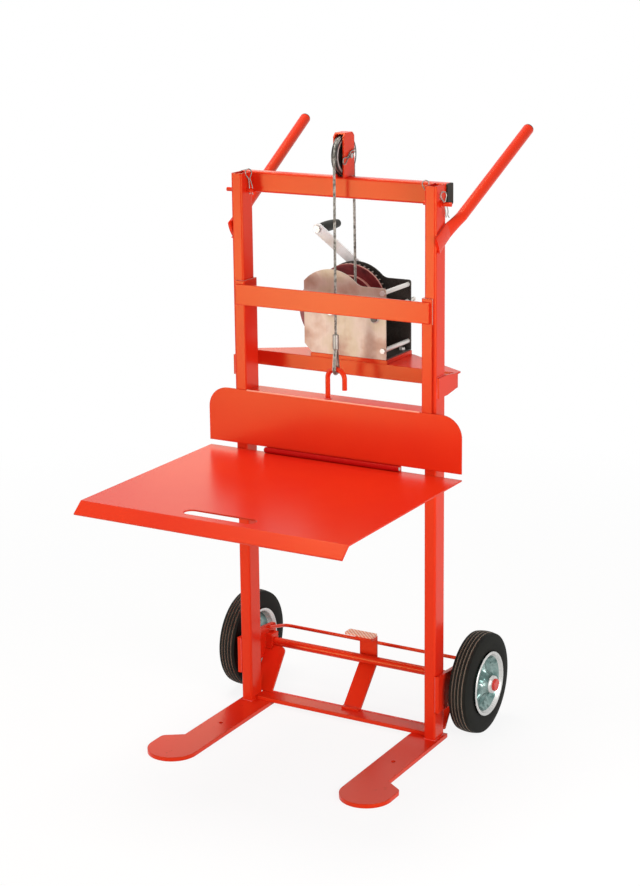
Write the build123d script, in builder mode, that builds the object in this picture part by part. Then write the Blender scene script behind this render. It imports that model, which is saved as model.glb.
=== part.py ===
from build123d import *
import os
from math import atan2, cos, degrees, pi, radians, sin, sqrt

# A lifting sack truck: a two-wheeled truck with two box-section masts, a hand
# winch on a shelf behind them, and a carriage with a hinged platform that a
# wire rope lifts along the masts.
# X runs across the truck, -Y is the platform side, +Y the handle side, Z is up.
# Sizes are written about the masts; the whole truck is then shifted by FRAME_Y,
# so that the origin lies on the floor under the middle of its outer size.

os.makedirs("parts", exist_ok=True)

SIDES = (("left", -1), ("right", 1))

# Fits and general values
FRAME_Y = 97.55
OVERRUN = 5.0
RUNNING_FIT = 0.05
FREE_GAP = 0.3
WASHER_GAP = 0.5

# Wheels and axle
WHEEL_RADIUS = 125.0
TREAD_WIDTH = 44.0
SIDEWALL_BULGE = 3.0
TREAD_GROOVES = 4
GROOVE_WIDTH = 2.4
GROOVE_DEPTH = 2.5
WHEEL_X = 326.0
AXLE_Y = 110.0
AXLE_DIA = 22.0
RIM_RADIUS = 79.0
RIM_LIP = 5.0
RIM_SHEET = 3.0
WHEEL_DISH = 14.0
HUB_DIA = 40.0
HUB_LENGTH = 82.0
HUB_LINER = 3.0
AXLE_END = 5.0
CAP_DIA = 30.0
CAP_DEPTH = 8.0

# Masts, box tube with open tops
MAST_WIDTH = 30.0
MAST_DEPTH = 50.0
TUBE_WALL = 2.5
TUBE_CORNER = 5.0
MAST_OUTER_X = 274.0
MAST_TOP_Z = 1355.0

# Feet: flat bars with a round pad at the front
FOOT_THICK = 10.0
FOOT_WIDTH = 80.0
FOOT_OUTER_X = 281.0
FOOT_REAR_Y = 30.0
PAD_RADIUS = 63.0
PAD_SHOULDER_ANGLE = 45.0
PAD_SHOULDER_RADIUS = 16.0
PAD_Y = -352.0
NECK_LENGTH = 75.0
FOOT_HOLE_DIA = 11.0
FOOT_HOLE_Y = -177.0

# Lower crossbar, struts, centre strap and foot bar
CROSSBAR_WIDTH = 45.0
CROSSBAR_THICK = 10.0
CROSSBAR_FRONT_Y = -8.0
STRUT_WIDTH = 56.0
STRUT_THICK = 6.0
STRUT_INNER_X = 218.0
STRUT_TOP_RADIUS = 14.0
STRAP_WIDTH = 48.0
STRAP_THICK = 6.0
STRAP_X = 13.0
STRAP_TOP_Z = 186.0
STRAP_FOOT = 14.0
STRAP_TURN = 30.0
TREAD_PLATE_WIDTH = 80.0
TREAD_PLATE_DEPTH = 30.0
TREAD_PLATE_Y = 113.0
TREAD_PLATE_THICK = 5.0
FOOT_BAR_DIA = 9.0
FOOT_BAR_Y = 192.0
FOOT_BAR_Z = 139.0
FOOT_BAR_START_Y = 106.0
FOOT_BAR_START_Z = 162.0
FOOT_BAR_BEND = 16.0

# Axle brackets on the outer sides of the masts
BRACKET_THICK = 10.0
BRACKET_BOTTOM_Z = 82.0
BRACKET_TOP_Z = 176.0
BRACKET_REAR_Y = 146.0
BRACKET_REAR_DROP = 13.0
BRACKET_REAR_RISE = 12.0
BRACKET_CORNER = 8.0
BLOCK_WIDTH = 19.0
BLOCK_DEPTH = 32.0
BLOCK_HEIGHT = 44.0

# Top crossbar, its saddles and locking pins
BEAM_HEIGHT = 50.0
BEAM_DEPTH = 30.0
CAP_THICK = 4.0
SADDLE_THICK = 4.0
SADDLE_DROP = 6.0
SADDLE_WIDTH = 18.0
TONGUE_LENGTH = 70.0
SADDLE_REACH = 1.0
TONGUE_DEPTH = 34.0
PIN_DIA = 10.0
PIN_COLLAR_DIA = 17.0
PIN_Z = 1312.0
PIN_OUT = 26.0
PIN_IN = 14.0
CLIP_WIRE = 3.0
CLIP_LENGTH = 52.0
CLIP_LEG_SHARE = 0.8
CLIP_RISE_SHARE = 0.75
CLIP_BEND_SHARE = 0.45
PULLEY_CLIP_LENGTH = 32.0
PULLEY_CLIP_RISE_SHARE = 0.42

# Handles: round tube, flattened where it is welded to the mast
HANDLE_DIA = 27.0
HANDLE_WALL = 2.0
HANDLE_ROOT_Z = 1232.0
HANDLE_SPLAY_SHARE = 0.075
HANDLE_RISE_SHARE = 0.535
HANDLE_LENGTH = 478.0
FLAT_WIDTH = 42.0
FLAT_THICK = 7.0
FLAT_LENGTH = 62.0
FLARE_LENGTH = 55.0
PLUG_DEPTH = 20.0
PLUG_HEAD = 4.0
PLUG_TAPER = 20.0

# Pulley and its bracket
PULLEY_PITCH_RADIUS = 47.0
PULLEY_WIDTH = 14.0
PULLEY_LIP = 1.5
PULLEY_BAR_GAP = 0.8
BRACKET_PLATE = 4.0
BRACKET_HALF_WIDTH = 14.5
BRACKET_DEPTH = 50.0
BRACKET_ROUND = 9.0
PULLEY_PIN_DIA = 12.0
PULLEY_PIN_OUT = 8.0
ROPE_DIA = 6.0
ROPE_X = 0.0

# Shelf that carries the winch
SHELF_BAR_HEIGHT = 36.0
SHELF_BAR_THICK = 5.0
SHELF_TOP_Z = 903.0
SHELF_FRONT_Y = 75.0
SHELF_PLATE_THICK = 4.0
SHELF_BACK_Y = 205.0
SHELF_BACK_HALF = 100.0
SHELF_SHOULDER = 14.0
ARM_THICK = 6.0
ARM_FRONT_HEIGHT = 49.0
WINCH_PAD_THICK = 10.0
WINCH_PAD_LEFT = -117.0
WINCH_PAD_RIGHT = 94.0

# Hand winch
PLATE_THICK = 3.0
WINCH_FRONT_Y = 77.0
WINCH_DEPTH = 133.0
WINCH_LEFT_X = -135.0
WINCH_RIGHT_X = 90.0
WINCH_SIDE_TOP = 174.0
WINCH_CHAMFER = 21.0
PLATE_FILLET = 6.0
HUMP_BLEND = 30.0
HUMP_CLEARANCE = 1.0
GEAR_X = -60.0
GEAR_RISE = 108.0
TOOTH_MODULE = 4.0
GEAR_TEETH = 48
PINION_TEETH = 12
MESH_ANGLE = -4.3
TOOTH_SHARE = 0.42
TIP_SHARE = 0.24
ADDENDUM_SHARE = 0.85
DEDENDUM_SHARE = 1.15
GEAR_THICK = 10.0
DRUM_RADIUS = 60.0
FLANGE_RADIUS = 90.0
FLANGE_THICK = 3.0
DRUM_FRONT_GAP = 0.5
GEAR_REAR_GAP = 17.0
DRUM_AXLE_DIA = 20.0
ROPE_TURNS = 5
ROPE_FLANGE_GAP = 2.5
PINION_SHAFT_DIA = 16.0
SHAFT_STUB = 6.0
BRAKE_DIA = 56.0
BRAKE_THICK = 16.0
CRANK_LENGTH = 300.0
CRANK_ANGLE = 143.5
CRANK_WIDTH = 26.0
CRANK_THICK = 6.0
GRIP_LENGTH = 96.0
GRIP_DIA = 27.0
SPINDLE_DIA = 10.0
SPINDLE_HEAD = 19.0
CRANK_NUT_DIA = 26.0
TIE_DIA = 11.0
TIE_INSET_X = 8.0
TIE_TOP_DROP = 6.0
TIE_LOW_RISE = 22.0
TIE_HEAD = 14.0
TIE_HEAD_HIGH = 4.0
HEX_SIDES = 6
BOLT_HEAD = 16.0
BOLT_HEAD_HIGH = 5.0
BASE_BOLT_DIA = 8.0

# Carriage that runs on the masts
GUIDE_PAD = 1.5
GUIDE_PAD_LENGTH = 60.0
CHANNEL_WALL = 3.0
CHANNEL_FLANGE = 27.0
CHANNEL_TOP_Z = 1096.0
CHANNEL_BOTTOM_Z = 705.0
MID_BAR_HEIGHT = 50.0
MID_BAR_THICK = 5.0
MID_BAR_TOP_Z = 1088.0
MID_BAR_HALF = 261.0
BACK_PLATE_THICK = 4.0
BACK_PLATE_TOP_Z = 827.0
BACK_PLATE_BOTTOM_Z = 691.0
BACK_PLATE_RADIUS = 52.0
CROSS_TOP_Z = 825.0
CROSS_WALL = 5.0
CROSS_LEG = 40.0
HOOK_ROD = 12.0
HOOK_HALF = 23.0
HOOK_TOP_Z = 905.0
HOOK_FREE_LEG = 26.0
FERRULE_DIA = 15.0
FERRULE_LENGTH = 37.0
FERRULE_BOTTOM_Z = 947.0
THIMBLE_WALL = 4.0
THIMBLE_PLAY = 1.0
THIMBLE_WIDTH = 9.0
STOP_PLATE_THICK = 6.0
STOP_PLATE_TOP_Z = 760.0
STOP_PLATE_BOTTOM_Z = 648.0

# Platform and its hinge
PLATFORM_HALF = 345.0
PLATFORM_THICK = 3.5
PLATFORM_TOP_Z = 677.0
PLATFORM_BEND_Y = -570.0
LIP_RUN = 29.0
LIP_DROP = 24.0
HAND_SLOT_LENGTH = 184.0
HAND_SLOT_WIDTH = 34.0
HAND_SLOT_EDGE = 24.0
KNUCKLE_WALL = 2.5
KNUCKLE_HALF = 184.0
KNUCKLE_CENTRE_SHARE = 0.7
HINGE_PIN_HEAD = 2.0
RIB_THICK = 5.0
RIB_X = 150.0
RIB_HEIGHT = 30.0
RIB_NOSE = 8.0
RIB_FRONT_GAP = 60.0
REAR_FLANGE_THICK = 6.0

# Places that follow from the sizes above
MAST_X = MAST_OUTER_X - MAST_WIDTH / 2
MAST_INNER_X = MAST_OUTER_X - MAST_WIDTH
MAST_FRONT_Y = -MAST_DEPTH / 2
MAST_BACK_Y = MAST_DEPTH / 2
AXLE_Z = WHEEL_RADIUS
HUB_OUTER_X = WHEEL_X + HUB_LENGTH / 2
BEAM_Y = MAST_BACK_Y + BEAM_DEPTH / 2
BEAM_TOP_Z = MAST_TOP_Z
PULLEY_RADIUS = PULLEY_PITCH_RADIUS + PULLEY_LIP
PULLEY_Y = BEAM_Y
PULLEY_Z = BEAM_TOP_Z + PULLEY_BAR_GAP + PULLEY_RADIUS
ROPE_RADIUS = ROPE_DIA / 2
FRONT_STRAND_Y = PULLEY_Y - PULLEY_PITCH_RADIUS
BACK_STRAND_Y = PULLEY_Y + PULLEY_PITCH_RADIUS
BRACKET_TOP = PULLEY_Z + PULLEY_PITCH_RADIUS + ROPE_RADIUS + WASHER_GAP + BRACKET_PLATE
WINCH_BOTTOM_Z = SHELF_TOP_Z + WINCH_PAD_THICK
GEAR_Z = WINCH_BOTTOM_Z + GEAR_RISE
WINCH_BACK_Y = WINCH_FRONT_Y + WINCH_DEPTH
WINCH_INNER_FRONT_Y = WINCH_FRONT_Y + PLATE_THICK
WINCH_INNER_BACK_Y = WINCH_BACK_Y - PLATE_THICK
GEAR_PITCH_RADIUS = TOOTH_MODULE * GEAR_TEETH / 2
PINION_PITCH_RADIUS = TOOTH_MODULE * PINION_TEETH / 2
MESH_DISTANCE = GEAR_PITCH_RADIUS + PINION_PITCH_RADIUS
PINION_X = GEAR_X + MESH_DISTANCE * cos(radians(MESH_ANGLE))
PINION_Z = GEAR_Z + MESH_DISTANCE * sin(radians(MESH_ANGLE))
DRUM_FRONT_Y = WINCH_INNER_FRONT_Y + DRUM_FRONT_GAP
GEAR_BACK_Y = WINCH_INNER_BACK_Y - GEAR_REAR_GAP
GEAR_FRONT_Y = GEAR_BACK_Y - GEAR_THICK
CHANNEL_GAP = GUIDE_PAD + FREE_GAP
CHANNEL_FRONT_Y = MAST_FRONT_Y - CHANNEL_GAP - CHANNEL_WALL
CHANNEL_BACK_Y = MAST_BACK_Y + CHANNEL_GAP + CHANNEL_WALL
CHANNEL_WEB_X = MAST_INNER_X - CHANNEL_GAP - CHANNEL_WALL
HINGE_Z = (BACK_PLATE_BOTTOM_Z + PLATFORM_TOP_Z) / 2
KNUCKLE_RADIUS = (BACK_PLATE_BOTTOM_Z - PLATFORM_TOP_Z) / 2 - FREE_GAP
HINGE_Y = CHANNEL_FRONT_Y - KNUCKLE_RADIUS - FREE_GAP
HINGE_PIN_RADIUS = KNUCKLE_RADIUS - KNUCKLE_WALL
PLATFORM_REAR_Y = CHANNEL_FRONT_Y - FREE_GAP
KNUCKLE_CENTRE_HALF = KNUCKLE_HALF * KNUCKLE_CENTRE_SHARE
HANDLE_X = MAST_OUTER_X + FLAT_THICK / 2
SHELF_HALF = MAST_OUTER_X + ARM_THICK


def box_section(width, depth, wall, corner):
    """Draws a rounded box tube profile in the sketch that is open."""
    RectangleRounded(width, depth, corner)
    RectangleRounded(width - 2 * wall, depth - 2 * wall, corner - wall, mode=Mode.SUBTRACT)


def strip(points, thickness):
    """Gives the outline of a bent strip whose middle line runs through the points."""
    upper, lower = [], []
    for index, point in enumerate(points):
        before = points[max(index - 1, 0)]
        after = points[min(index + 1, len(points) - 1)]
        turn_in = atan2(point[1] - before[1], point[0] - before[0])
        turn_out = atan2(after[1] - point[1], after[0] - point[0])
        if index == 0:
            turn_in = turn_out
        if index == len(points) - 1:
            turn_out = turn_in
        middle = (turn_in + turn_out) / 2
        reach = thickness / 2 / cos((turn_out - turn_in) / 2)
        upper.append((point[0] - reach * sin(middle), point[1] + reach * cos(middle)))
        lower.append((point[0] + reach * sin(middle), point[1] - reach * cos(middle)))
    return upper + lower[::-1]


def save(builder, name):
    """Labels a finished piece and writes it under its own name."""
    builder.part.position = builder.part.position + Vector(0, FRAME_Y, 0)
    builder.part.label = name
    export_step(builder.part, f"parts/{name}.step")


# Masts: upright box tubes, open at the top, with a cross hole for the locking pin
# and a notch in the back wall for the top crossbar's strap.
for side, sign in SIDES:
    with BuildPart() as mast:
        with BuildSketch(Plane.XY.offset(FOOT_THICK)):
            with Locations((sign * MAST_X, 0)):
                box_section(MAST_WIDTH, MAST_DEPTH, TUBE_WALL, TUBE_CORNER)
        extrude(amount=MAST_TOP_Z - FOOT_THICK)
        with Locations(Plane.YZ.offset(sign * MAST_X)):
            with Locations((0, PIN_Z)):
                Cylinder(PIN_DIA / 2 + RUNNING_FIT, MAST_WIDTH + OVERRUN, mode=Mode.SUBTRACT)
        with BuildSketch(Plane.XY.offset(MAST_TOP_Z)):
            with Locations((sign * MAST_X, MAST_BACK_Y)):
                Rectangle(SADDLE_WIDTH + 2 * FREE_GAP, 3 * TUBE_WALL)
        extrude(amount=-(SADDLE_DROP + SADDLE_THICK), mode=Mode.SUBTRACT)
    save(mast, f"mast_{side}")

# Feet: flat bars on the floor that end in a round pad, with a fixing hole.
pad_x = FOOT_OUTER_X - FOOT_WIDTH + PAD_RADIUS
pad_outer_x = pad_x + PAD_RADIUS
shoulder_y = PAD_Y + PAD_RADIUS * sin(radians(PAD_SHOULDER_ANGLE))
neck_y = PAD_Y + NECK_LENGTH
with BuildPart() as feet:
    for side, sign in SIDES:
        with BuildSketch():
            Polygon(
                (sign * (FOOT_OUTER_X - FOOT_WIDTH), PAD_Y),
                (sign * (FOOT_OUTER_X - FOOT_WIDTH), FOOT_REAR_Y),
                (sign * FOOT_OUTER_X, FOOT_REAR_Y),
                (sign * FOOT_OUTER_X, neck_y),
                (sign * pad_outer_x, shoulder_y),
                (sign * pad_outer_x, PAD_Y),
                align=None,
            )
            with Locations((sign * pad_x, PAD_Y)):
                Circle(PAD_RADIUS)
        extrude(amount=FOOT_THICK)
        shoulder = feet.edges().filter_by(Axis.Z).sort_by_distance((sign * pad_outer_x, shoulder_y, FOOT_THICK / 2))
        fillet(shoulder[0], PAD_SHOULDER_RADIUS)
        with Locations((sign * (FOOT_OUTER_X - FOOT_WIDTH / 2), FOOT_HOLE_Y, FOOT_THICK)):
            Hole(FOOT_HOLE_DIA / 2)
save(feet, "feet")

# Lower crossbar: a flat bar on the feet, between the masts.
crossbar_back_y = CROSSBAR_FRONT_Y + CROSSBAR_WIDTH
with BuildPart() as lower_crossbar:
    with BuildSketch(Plane.XY.offset(FOOT_THICK)):
        with Locations((0, (CROSSBAR_FRONT_Y + crossbar_back_y) / 2)):
            Rectangle(2 * MAST_INNER_X, CROSSBAR_WIDTH)
    extrude(amount=CROSSBAR_THICK)
save(lower_crossbar, "lower_crossbar")

# Axle brackets: thick plates welded to the outer sides of the masts, with a square
# block round the axle on their inner sides.
bracket_rear_top_z = BRACKET_TOP_Z - BRACKET_REAR_DROP
bracket_rear_low_z = BRACKET_BOTTOM_Z + BRACKET_REAR_RISE
with BuildPart() as axle_brackets:
    for side, sign in SIDES:
        with BuildSketch(Plane.YZ.offset(sign * (MAST_OUTER_X + BRACKET_THICK / 2))):
            Polygon(
                (MAST_FRONT_Y, BRACKET_BOTTOM_Z),
                (MAST_FRONT_Y, BRACKET_TOP_Z),
                (BRACKET_REAR_Y, bracket_rear_top_z),
                (BRACKET_REAR_Y, bracket_rear_low_z),
                (MAST_BACK_Y, BRACKET_BOTTOM_Z),
                align=None,
            )
            with Locations((AXLE_Y, AXLE_Z)):
                Circle(AXLE_DIA / 2, mode=Mode.SUBTRACT)
        extrude(amount=BRACKET_THICK / 2, both=True)
        with BuildSketch(Plane.YZ.offset(sign * (MAST_OUTER_X - BLOCK_WIDTH / 2))):
            with Locations((AXLE_Y, AXLE_Z)):
                Rectangle(BLOCK_DEPTH, BLOCK_HEIGHT)
                Circle(AXLE_DIA / 2, mode=Mode.SUBTRACT)
        extrude(amount=BLOCK_WIDTH / 2, both=True)
    rear = axle_brackets.edges().filter_by(Axis.X).filter_by(GeomType.LINE).group_by(Axis.Y)[-1]
    fillet(rear, BRACKET_CORNER)
save(axle_brackets, "axle_brackets")

# Side struts: flat bars that lean from the crossbar back to the axle.
strut_foot = (crossbar_back_y - STRUT_THICK, FOOT_THICK + CROSSBAR_THICK)
strut_head = (AXLE_Y, AXLE_Z)
strut_span = sqrt((strut_head[0] - strut_foot[0]) ** 2 + (strut_head[1] - strut_foot[1]) ** 2)
strut_length = strut_span - AXLE_DIA / 2
strut_lean = degrees(atan2(strut_head[1] - strut_foot[1], strut_head[0] - strut_foot[0]))
with BuildPart() as side_struts:
    for side, sign in SIDES:
        strut_plane = Plane(
            origin=(sign * (STRUT_INNER_X + STRUT_WIDTH / 2), strut_foot[0], strut_foot[1]),
            x_dir=(1, 0, 0),
            z_dir=(0, -sin(radians(strut_lean)), cos(radians(strut_lean))),
        )
        with BuildSketch(strut_plane):
            with Locations((0, (strut_length - OVERRUN) / 2)):
                Rectangle(STRUT_WIDTH, strut_length + OVERRUN)
            fillet(vertices().group_by(Axis.Y)[-1], STRUT_TOP_RADIUS)
        extrude(amount=STRUT_THICK / 2, both=True)
        with BuildSketch(Plane.XY.offset(FOOT_THICK + CROSSBAR_THICK)):
            with Locations((sign * (STRUT_INNER_X + STRUT_WIDTH / 2), strut_foot[0])):
                Rectangle(2 * STRUT_WIDTH, STRUT_WIDTH)
        extrude(amount=-(CROSSBAR_THICK + OVERRUN), mode=Mode.SUBTRACT)
        with BuildSketch(Plane.YZ.offset(sign * (MAST_OUTER_X - BLOCK_WIDTH / 2))):
            with Locations((AXLE_Y, AXLE_Z)):
                Rectangle(BLOCK_DEPTH + 2 * FREE_GAP, BLOCK_HEIGHT + 2 * FREE_GAP)
        extrude(amount=BLOCK_WIDTH / 2 + FREE_GAP, both=True, mode=Mode.SUBTRACT)
save(side_struts, "side_struts")

# Axle: a round bar through both brackets and both wheels.
with BuildPart() as axle:
    with Locations(Plane.YZ):
        with Locations((AXLE_Y, AXLE_Z)):
            Cylinder(AXLE_DIA / 2, 2 * (HUB_OUTER_X + AXLE_END))
    chamfer(axle.faces().filter_by(GeomType.PLANE).edges(), AXLE_DIA / 20)
save(axle, "axle")

# Push-on caps that keep the wheels on the axle.
with BuildPart() as axle_caps:
    for side, sign in SIDES:
        cap_plane = Plane(
            origin=(sign * (HUB_OUTER_X + WASHER_GAP), AXLE_Y, AXLE_Z), x_dir=(0, 1, 0), z_dir=(sign, 0, 0)
        )
        with BuildSketch(cap_plane):
            Circle(CAP_DIA / 2)
        extrude(amount=CAP_DEPTH)
        with BuildSketch(cap_plane):
            Circle(AXLE_DIA / 2)
        extrude(amount=AXLE_END - WASHER_GAP, mode=Mode.SUBTRACT)
    rounded = axle_caps.edges().filter_by(GeomType.CIRCLE).group_by(Axis.X)
    fillet(rounded[0] + rounded[-1], CAP_DEPTH / 3)
save(axle_caps, "axle_caps")

# Centre strap: a flat bar from the crossbar, behind the axle and up to the tread plate.
strap_mid_y = AXLE_Y + AXLE_DIA / 2 + STRAP_THICK / 2
strap_foot_z = FOOT_THICK + CROSSBAR_THICK + STRAP_THICK / 2
strap_points = (
    (crossbar_back_y - STRAP_FOOT, strap_foot_z),
    (crossbar_back_y, strap_foot_z),
    (strap_mid_y, AXLE_Z - AXLE_DIA / 2),
    (strap_mid_y, STRAP_TOP_Z - STRAP_THICK / 2),
    (strap_mid_y - STRAP_TURN, STRAP_TOP_Z - STRAP_THICK / 2),
)
with BuildPart() as centre_strap:
    with BuildSketch(Plane.YZ.offset(STRAP_X)):
        Polygon(*strip(strap_points, STRAP_THICK), align=None)
    extrude(amount=STRAP_WIDTH / 2, both=True)
save(centre_strap, "centre_strap")

# Tread plate on top of the strap, pressed down by foot to tip the truck.
with BuildPart() as tread_plate:
    with BuildSketch(Plane.XY.offset(STRAP_TOP_Z)):
        with Locations((STRAP_X + (STRAP_WIDTH - TREAD_PLATE_WIDTH) / 2, TREAD_PLATE_Y)):
            RectangleRounded(TREAD_PLATE_WIDTH, TREAD_PLATE_DEPTH, TREAD_PLATE_THICK)
    extrude(amount=TREAD_PLATE_THICK)
save(tread_plate, "tread_plate")

# Foot bar: one bent round rod behind the axle, welded to the brackets' inner sides.
bar_x = MAST_OUTER_X - FOOT_BAR_DIA / 2
with BuildPart() as foot_bar:
    with BuildLine() as bar_path:
        FilletPolyline(
            (-bar_x, FOOT_BAR_START_Y, FOOT_BAR_START_Z),
            (-bar_x, FOOT_BAR_Y, FOOT_BAR_Z),
            (bar_x, FOOT_BAR_Y, FOOT_BAR_Z),
            (bar_x, FOOT_BAR_START_Y, FOOT_BAR_START_Z),
            radius=FOOT_BAR_BEND,
        )
    with BuildSketch(Plane(bar_path.line @ 0, z_dir=bar_path.line % 0)):
        Circle(FOOT_BAR_DIA / 2)
    sweep()
save(foot_bar, "foot_bar")

# Top crossbar: a box tube behind the mast tops. The straps welded on it reach
# through the masts' notches and hang down inside, where the locking pins pass.
tongue_y = MAST_BACK_Y - TUBE_WALL - FREE_GAP - TONGUE_DEPTH / 2
saddle_front_y = tongue_y - TONGUE_DEPTH / 2
saddle_back_y = MAST_BACK_Y + SADDLE_REACH
saddle_top_z = MAST_TOP_Z - SADDLE_DROP
with BuildPart() as top_crossbar:
    with BuildSketch(Plane.YZ.offset(-MAST_OUTER_X)):
        with Locations((BEAM_Y, BEAM_TOP_Z - BEAM_HEIGHT / 2)):
            box_section(BEAM_DEPTH, BEAM_HEIGHT, TUBE_WALL, TUBE_CORNER)
    extrude(amount=2 * MAST_OUTER_X)
    for side, sign in SIDES:
        with BuildSketch(Plane.XY.offset(saddle_top_z)):
            with Locations((sign * MAST_X, (saddle_front_y + saddle_back_y) / 2)):
                Rectangle(SADDLE_WIDTH, saddle_back_y - saddle_front_y)
        extrude(amount=-SADDLE_THICK)
        with BuildSketch(Plane.XY.offset(saddle_top_z)):
            with Locations((sign * MAST_X, tongue_y)):
                Rectangle(SADDLE_WIDTH, TONGUE_DEPTH)
        extrude(amount=-TONGUE_LENGTH)
        with Locations(Plane.YZ.offset(sign * MAST_X)):
            with Locations((0, PIN_Z)):
                Cylinder(PIN_DIA / 2 + RUNNING_FIT, MAST_WIDTH, mode=Mode.SUBTRACT)
save(top_crossbar, "top_crossbar")

# Plastic caps in the ends of the top crossbar.
with BuildPart() as crossbar_caps:
    for side, sign in SIDES:
        end_plane = Plane(
            origin=(sign * MAST_OUTER_X, BEAM_Y, BEAM_TOP_Z - BEAM_HEIGHT / 2), x_dir=(0, 1, 0), z_dir=(sign, 0, 0)
        )
        with BuildSketch(end_plane):
            RectangleRounded(BEAM_DEPTH, BEAM_HEIGHT, TUBE_CORNER)
        extrude(amount=CAP_THICK)
        with BuildSketch(end_plane):
            inner_depth = BEAM_DEPTH - 2 * (TUBE_WALL + FREE_GAP)
            inner_height = BEAM_HEIGHT - 2 * (TUBE_WALL + FREE_GAP)
            RectangleRounded(inner_depth, inner_height, TUBE_CORNER - TUBE_WALL)
        extrude(amount=-TONGUE_LENGTH / 5)
save(crossbar_caps, "crossbar_caps")

# Locking pins: they go through the masts and the saddles, with a collar outside.
with BuildPart() as locking_pins:
    for side, sign in SIDES:
        pin_inner_x = MAST_INNER_X - PIN_IN
        pin_plane = Plane(origin=(sign * pin_inner_x, 0, PIN_Z), x_dir=(0, 1, 0), z_dir=(sign, 0, 0))
        with BuildSketch(pin_plane):
            Circle(PIN_DIA / 2)
        extrude(amount=PIN_IN + MAST_WIDTH + PIN_OUT)
        with BuildSketch(pin_plane.offset(PIN_IN + MAST_WIDTH + FREE_GAP)):
            Circle(PIN_COLLAR_DIA / 2)
        extrude(amount=PIN_DIA / 3)
        with Locations(Plane.XY.offset(PIN_Z)):
            with Locations((sign * (pin_inner_x + PIN_IN / 2), 0)):
                Cylinder(CLIP_WIRE / 2 + RUNNING_FIT, 2 * PIN_DIA, mode=Mode.SUBTRACT)
save(locking_pins, "locking_pins")


def clip_points(clip_x, clip_y, top_z, leg_gap, length):
    """Gives the corners of one hairpin clip, with its long leg at clip_y."""
    return (
        (clip_x, clip_y, top_z - length),
        (clip_x, clip_y, top_z),
        (clip_x, clip_y + leg_gap, top_z),
        (clip_x, clip_y + leg_gap, top_z - length * CLIP_LEG_SHARE),
    )


# Hairpin clips: through the inner ends of the locking pins, and through both
# ends of the pulley's pin.
clip_leg_gap = PIN_DIA / 2 + CLIP_WIRE / 2 + FREE_GAP
pulley_clip_gap = PULLEY_PIN_DIA / 2 + CLIP_WIRE / 2 + FREE_GAP
clip_places = []
for side, sign in SIDES:
    clip_x = sign * (MAST_INNER_X - PIN_IN / 2)
    clip_top_z = PIN_Z + CLIP_LENGTH * CLIP_RISE_SHARE
    clip_places.append((clip_x, 0, clip_top_z, clip_leg_gap, CLIP_LENGTH))
    clip_x = ROPE_X + sign * (BRACKET_HALF_WIDTH + PULLEY_PIN_OUT / 2)
    clip_top_z = PULLEY_Z + PULLEY_CLIP_LENGTH * PULLEY_CLIP_RISE_SHARE
    clip_places.append((clip_x, PULLEY_Y, clip_top_z, pulley_clip_gap, PULLEY_CLIP_LENGTH))
with BuildPart() as retaining_clips:
    for clip_x, clip_y, clip_top_z, leg_gap, clip_length in clip_places:
        with BuildLine() as clip_path:
            FilletPolyline(
                *clip_points(clip_x, clip_y, clip_top_z, leg_gap, clip_length),
                radius=leg_gap * CLIP_BEND_SHARE,
            )
        with BuildSketch(Plane(clip_path.line @ 0, z_dir=clip_path.line % 0)):
            Circle(CLIP_WIRE / 2)
        sweep()
save(retaining_clips, "retaining_clips")

# Handles: round tubes, flattened at the end that is welded to the mast's outer side.
flat_root_y = MAST_FRONT_Y
plug_planes = []
with BuildPart() as handles:
    for side, sign in SIDES:
        direction = Vector(sign * HANDLE_SPLAY_SHARE, 1, HANDLE_RISE_SHARE).normalized()
        flat_direction = Vector(0, 1, HANDLE_RISE_SHARE).normalized()
        flat_start = Vector(sign * HANDLE_X, flat_root_y, HANDLE_ROOT_Z + flat_root_y * HANDLE_RISE_SHARE)
        flat_end = flat_start + flat_direction * FLAT_LENGTH
        flare_end = flat_end + flat_direction * FLARE_LENGTH
        flare_end = Vector(sign * (MAST_OUTER_X + HANDLE_DIA / 2 + FREE_GAP), flare_end.Y, flare_end.Z)
        flat_plane = Plane(flat_start, x_dir=(1, 0, 0), z_dir=flat_direction)
        flare_plane = Plane(flat_end, x_dir=(1, 0, 0), z_dir=flat_direction)
        tube_plane = Plane(flare_end, x_dir=(1, 0, 0), z_dir=direction)
        tube_length = HANDLE_LENGTH - FLAT_LENGTH - FLARE_LENGTH
        with BuildSketch(flat_plane):
            Ellipse(FLAT_THICK / 2, FLAT_WIDTH / 2)
        extrude(amount=FLAT_LENGTH)
        with BuildSketch(flare_plane):
            Ellipse(FLAT_THICK / 2, FLAT_WIDTH / 2)
        with BuildSketch(tube_plane):
            Circle(HANDLE_DIA / 2)
        loft()
        with BuildSketch(tube_plane):
            Circle(HANDLE_DIA / 2)
        extrude(amount=tube_length)
        with BuildSketch(tube_plane):
            Circle(HANDLE_DIA / 2 - HANDLE_WALL)
        extrude(amount=tube_length, mode=Mode.SUBTRACT)
        plug_planes.append(tube_plane.offset(tube_length))
save(handles, "handles")

# Plastic plugs in the handle ends.
with BuildPart() as handle_plugs:
    for plug_plane in plug_planes:
        with BuildSketch(plug_plane):
            Circle(HANDLE_DIA / 2)
        extrude(amount=PLUG_HEAD, taper=PLUG_TAPER)
        with BuildSketch(plug_plane):
            Circle(HANDLE_DIA / 2 - HANDLE_WALL)
        extrude(amount=-PLUG_DEPTH)
save(handle_plugs, "handle_plugs")

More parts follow.
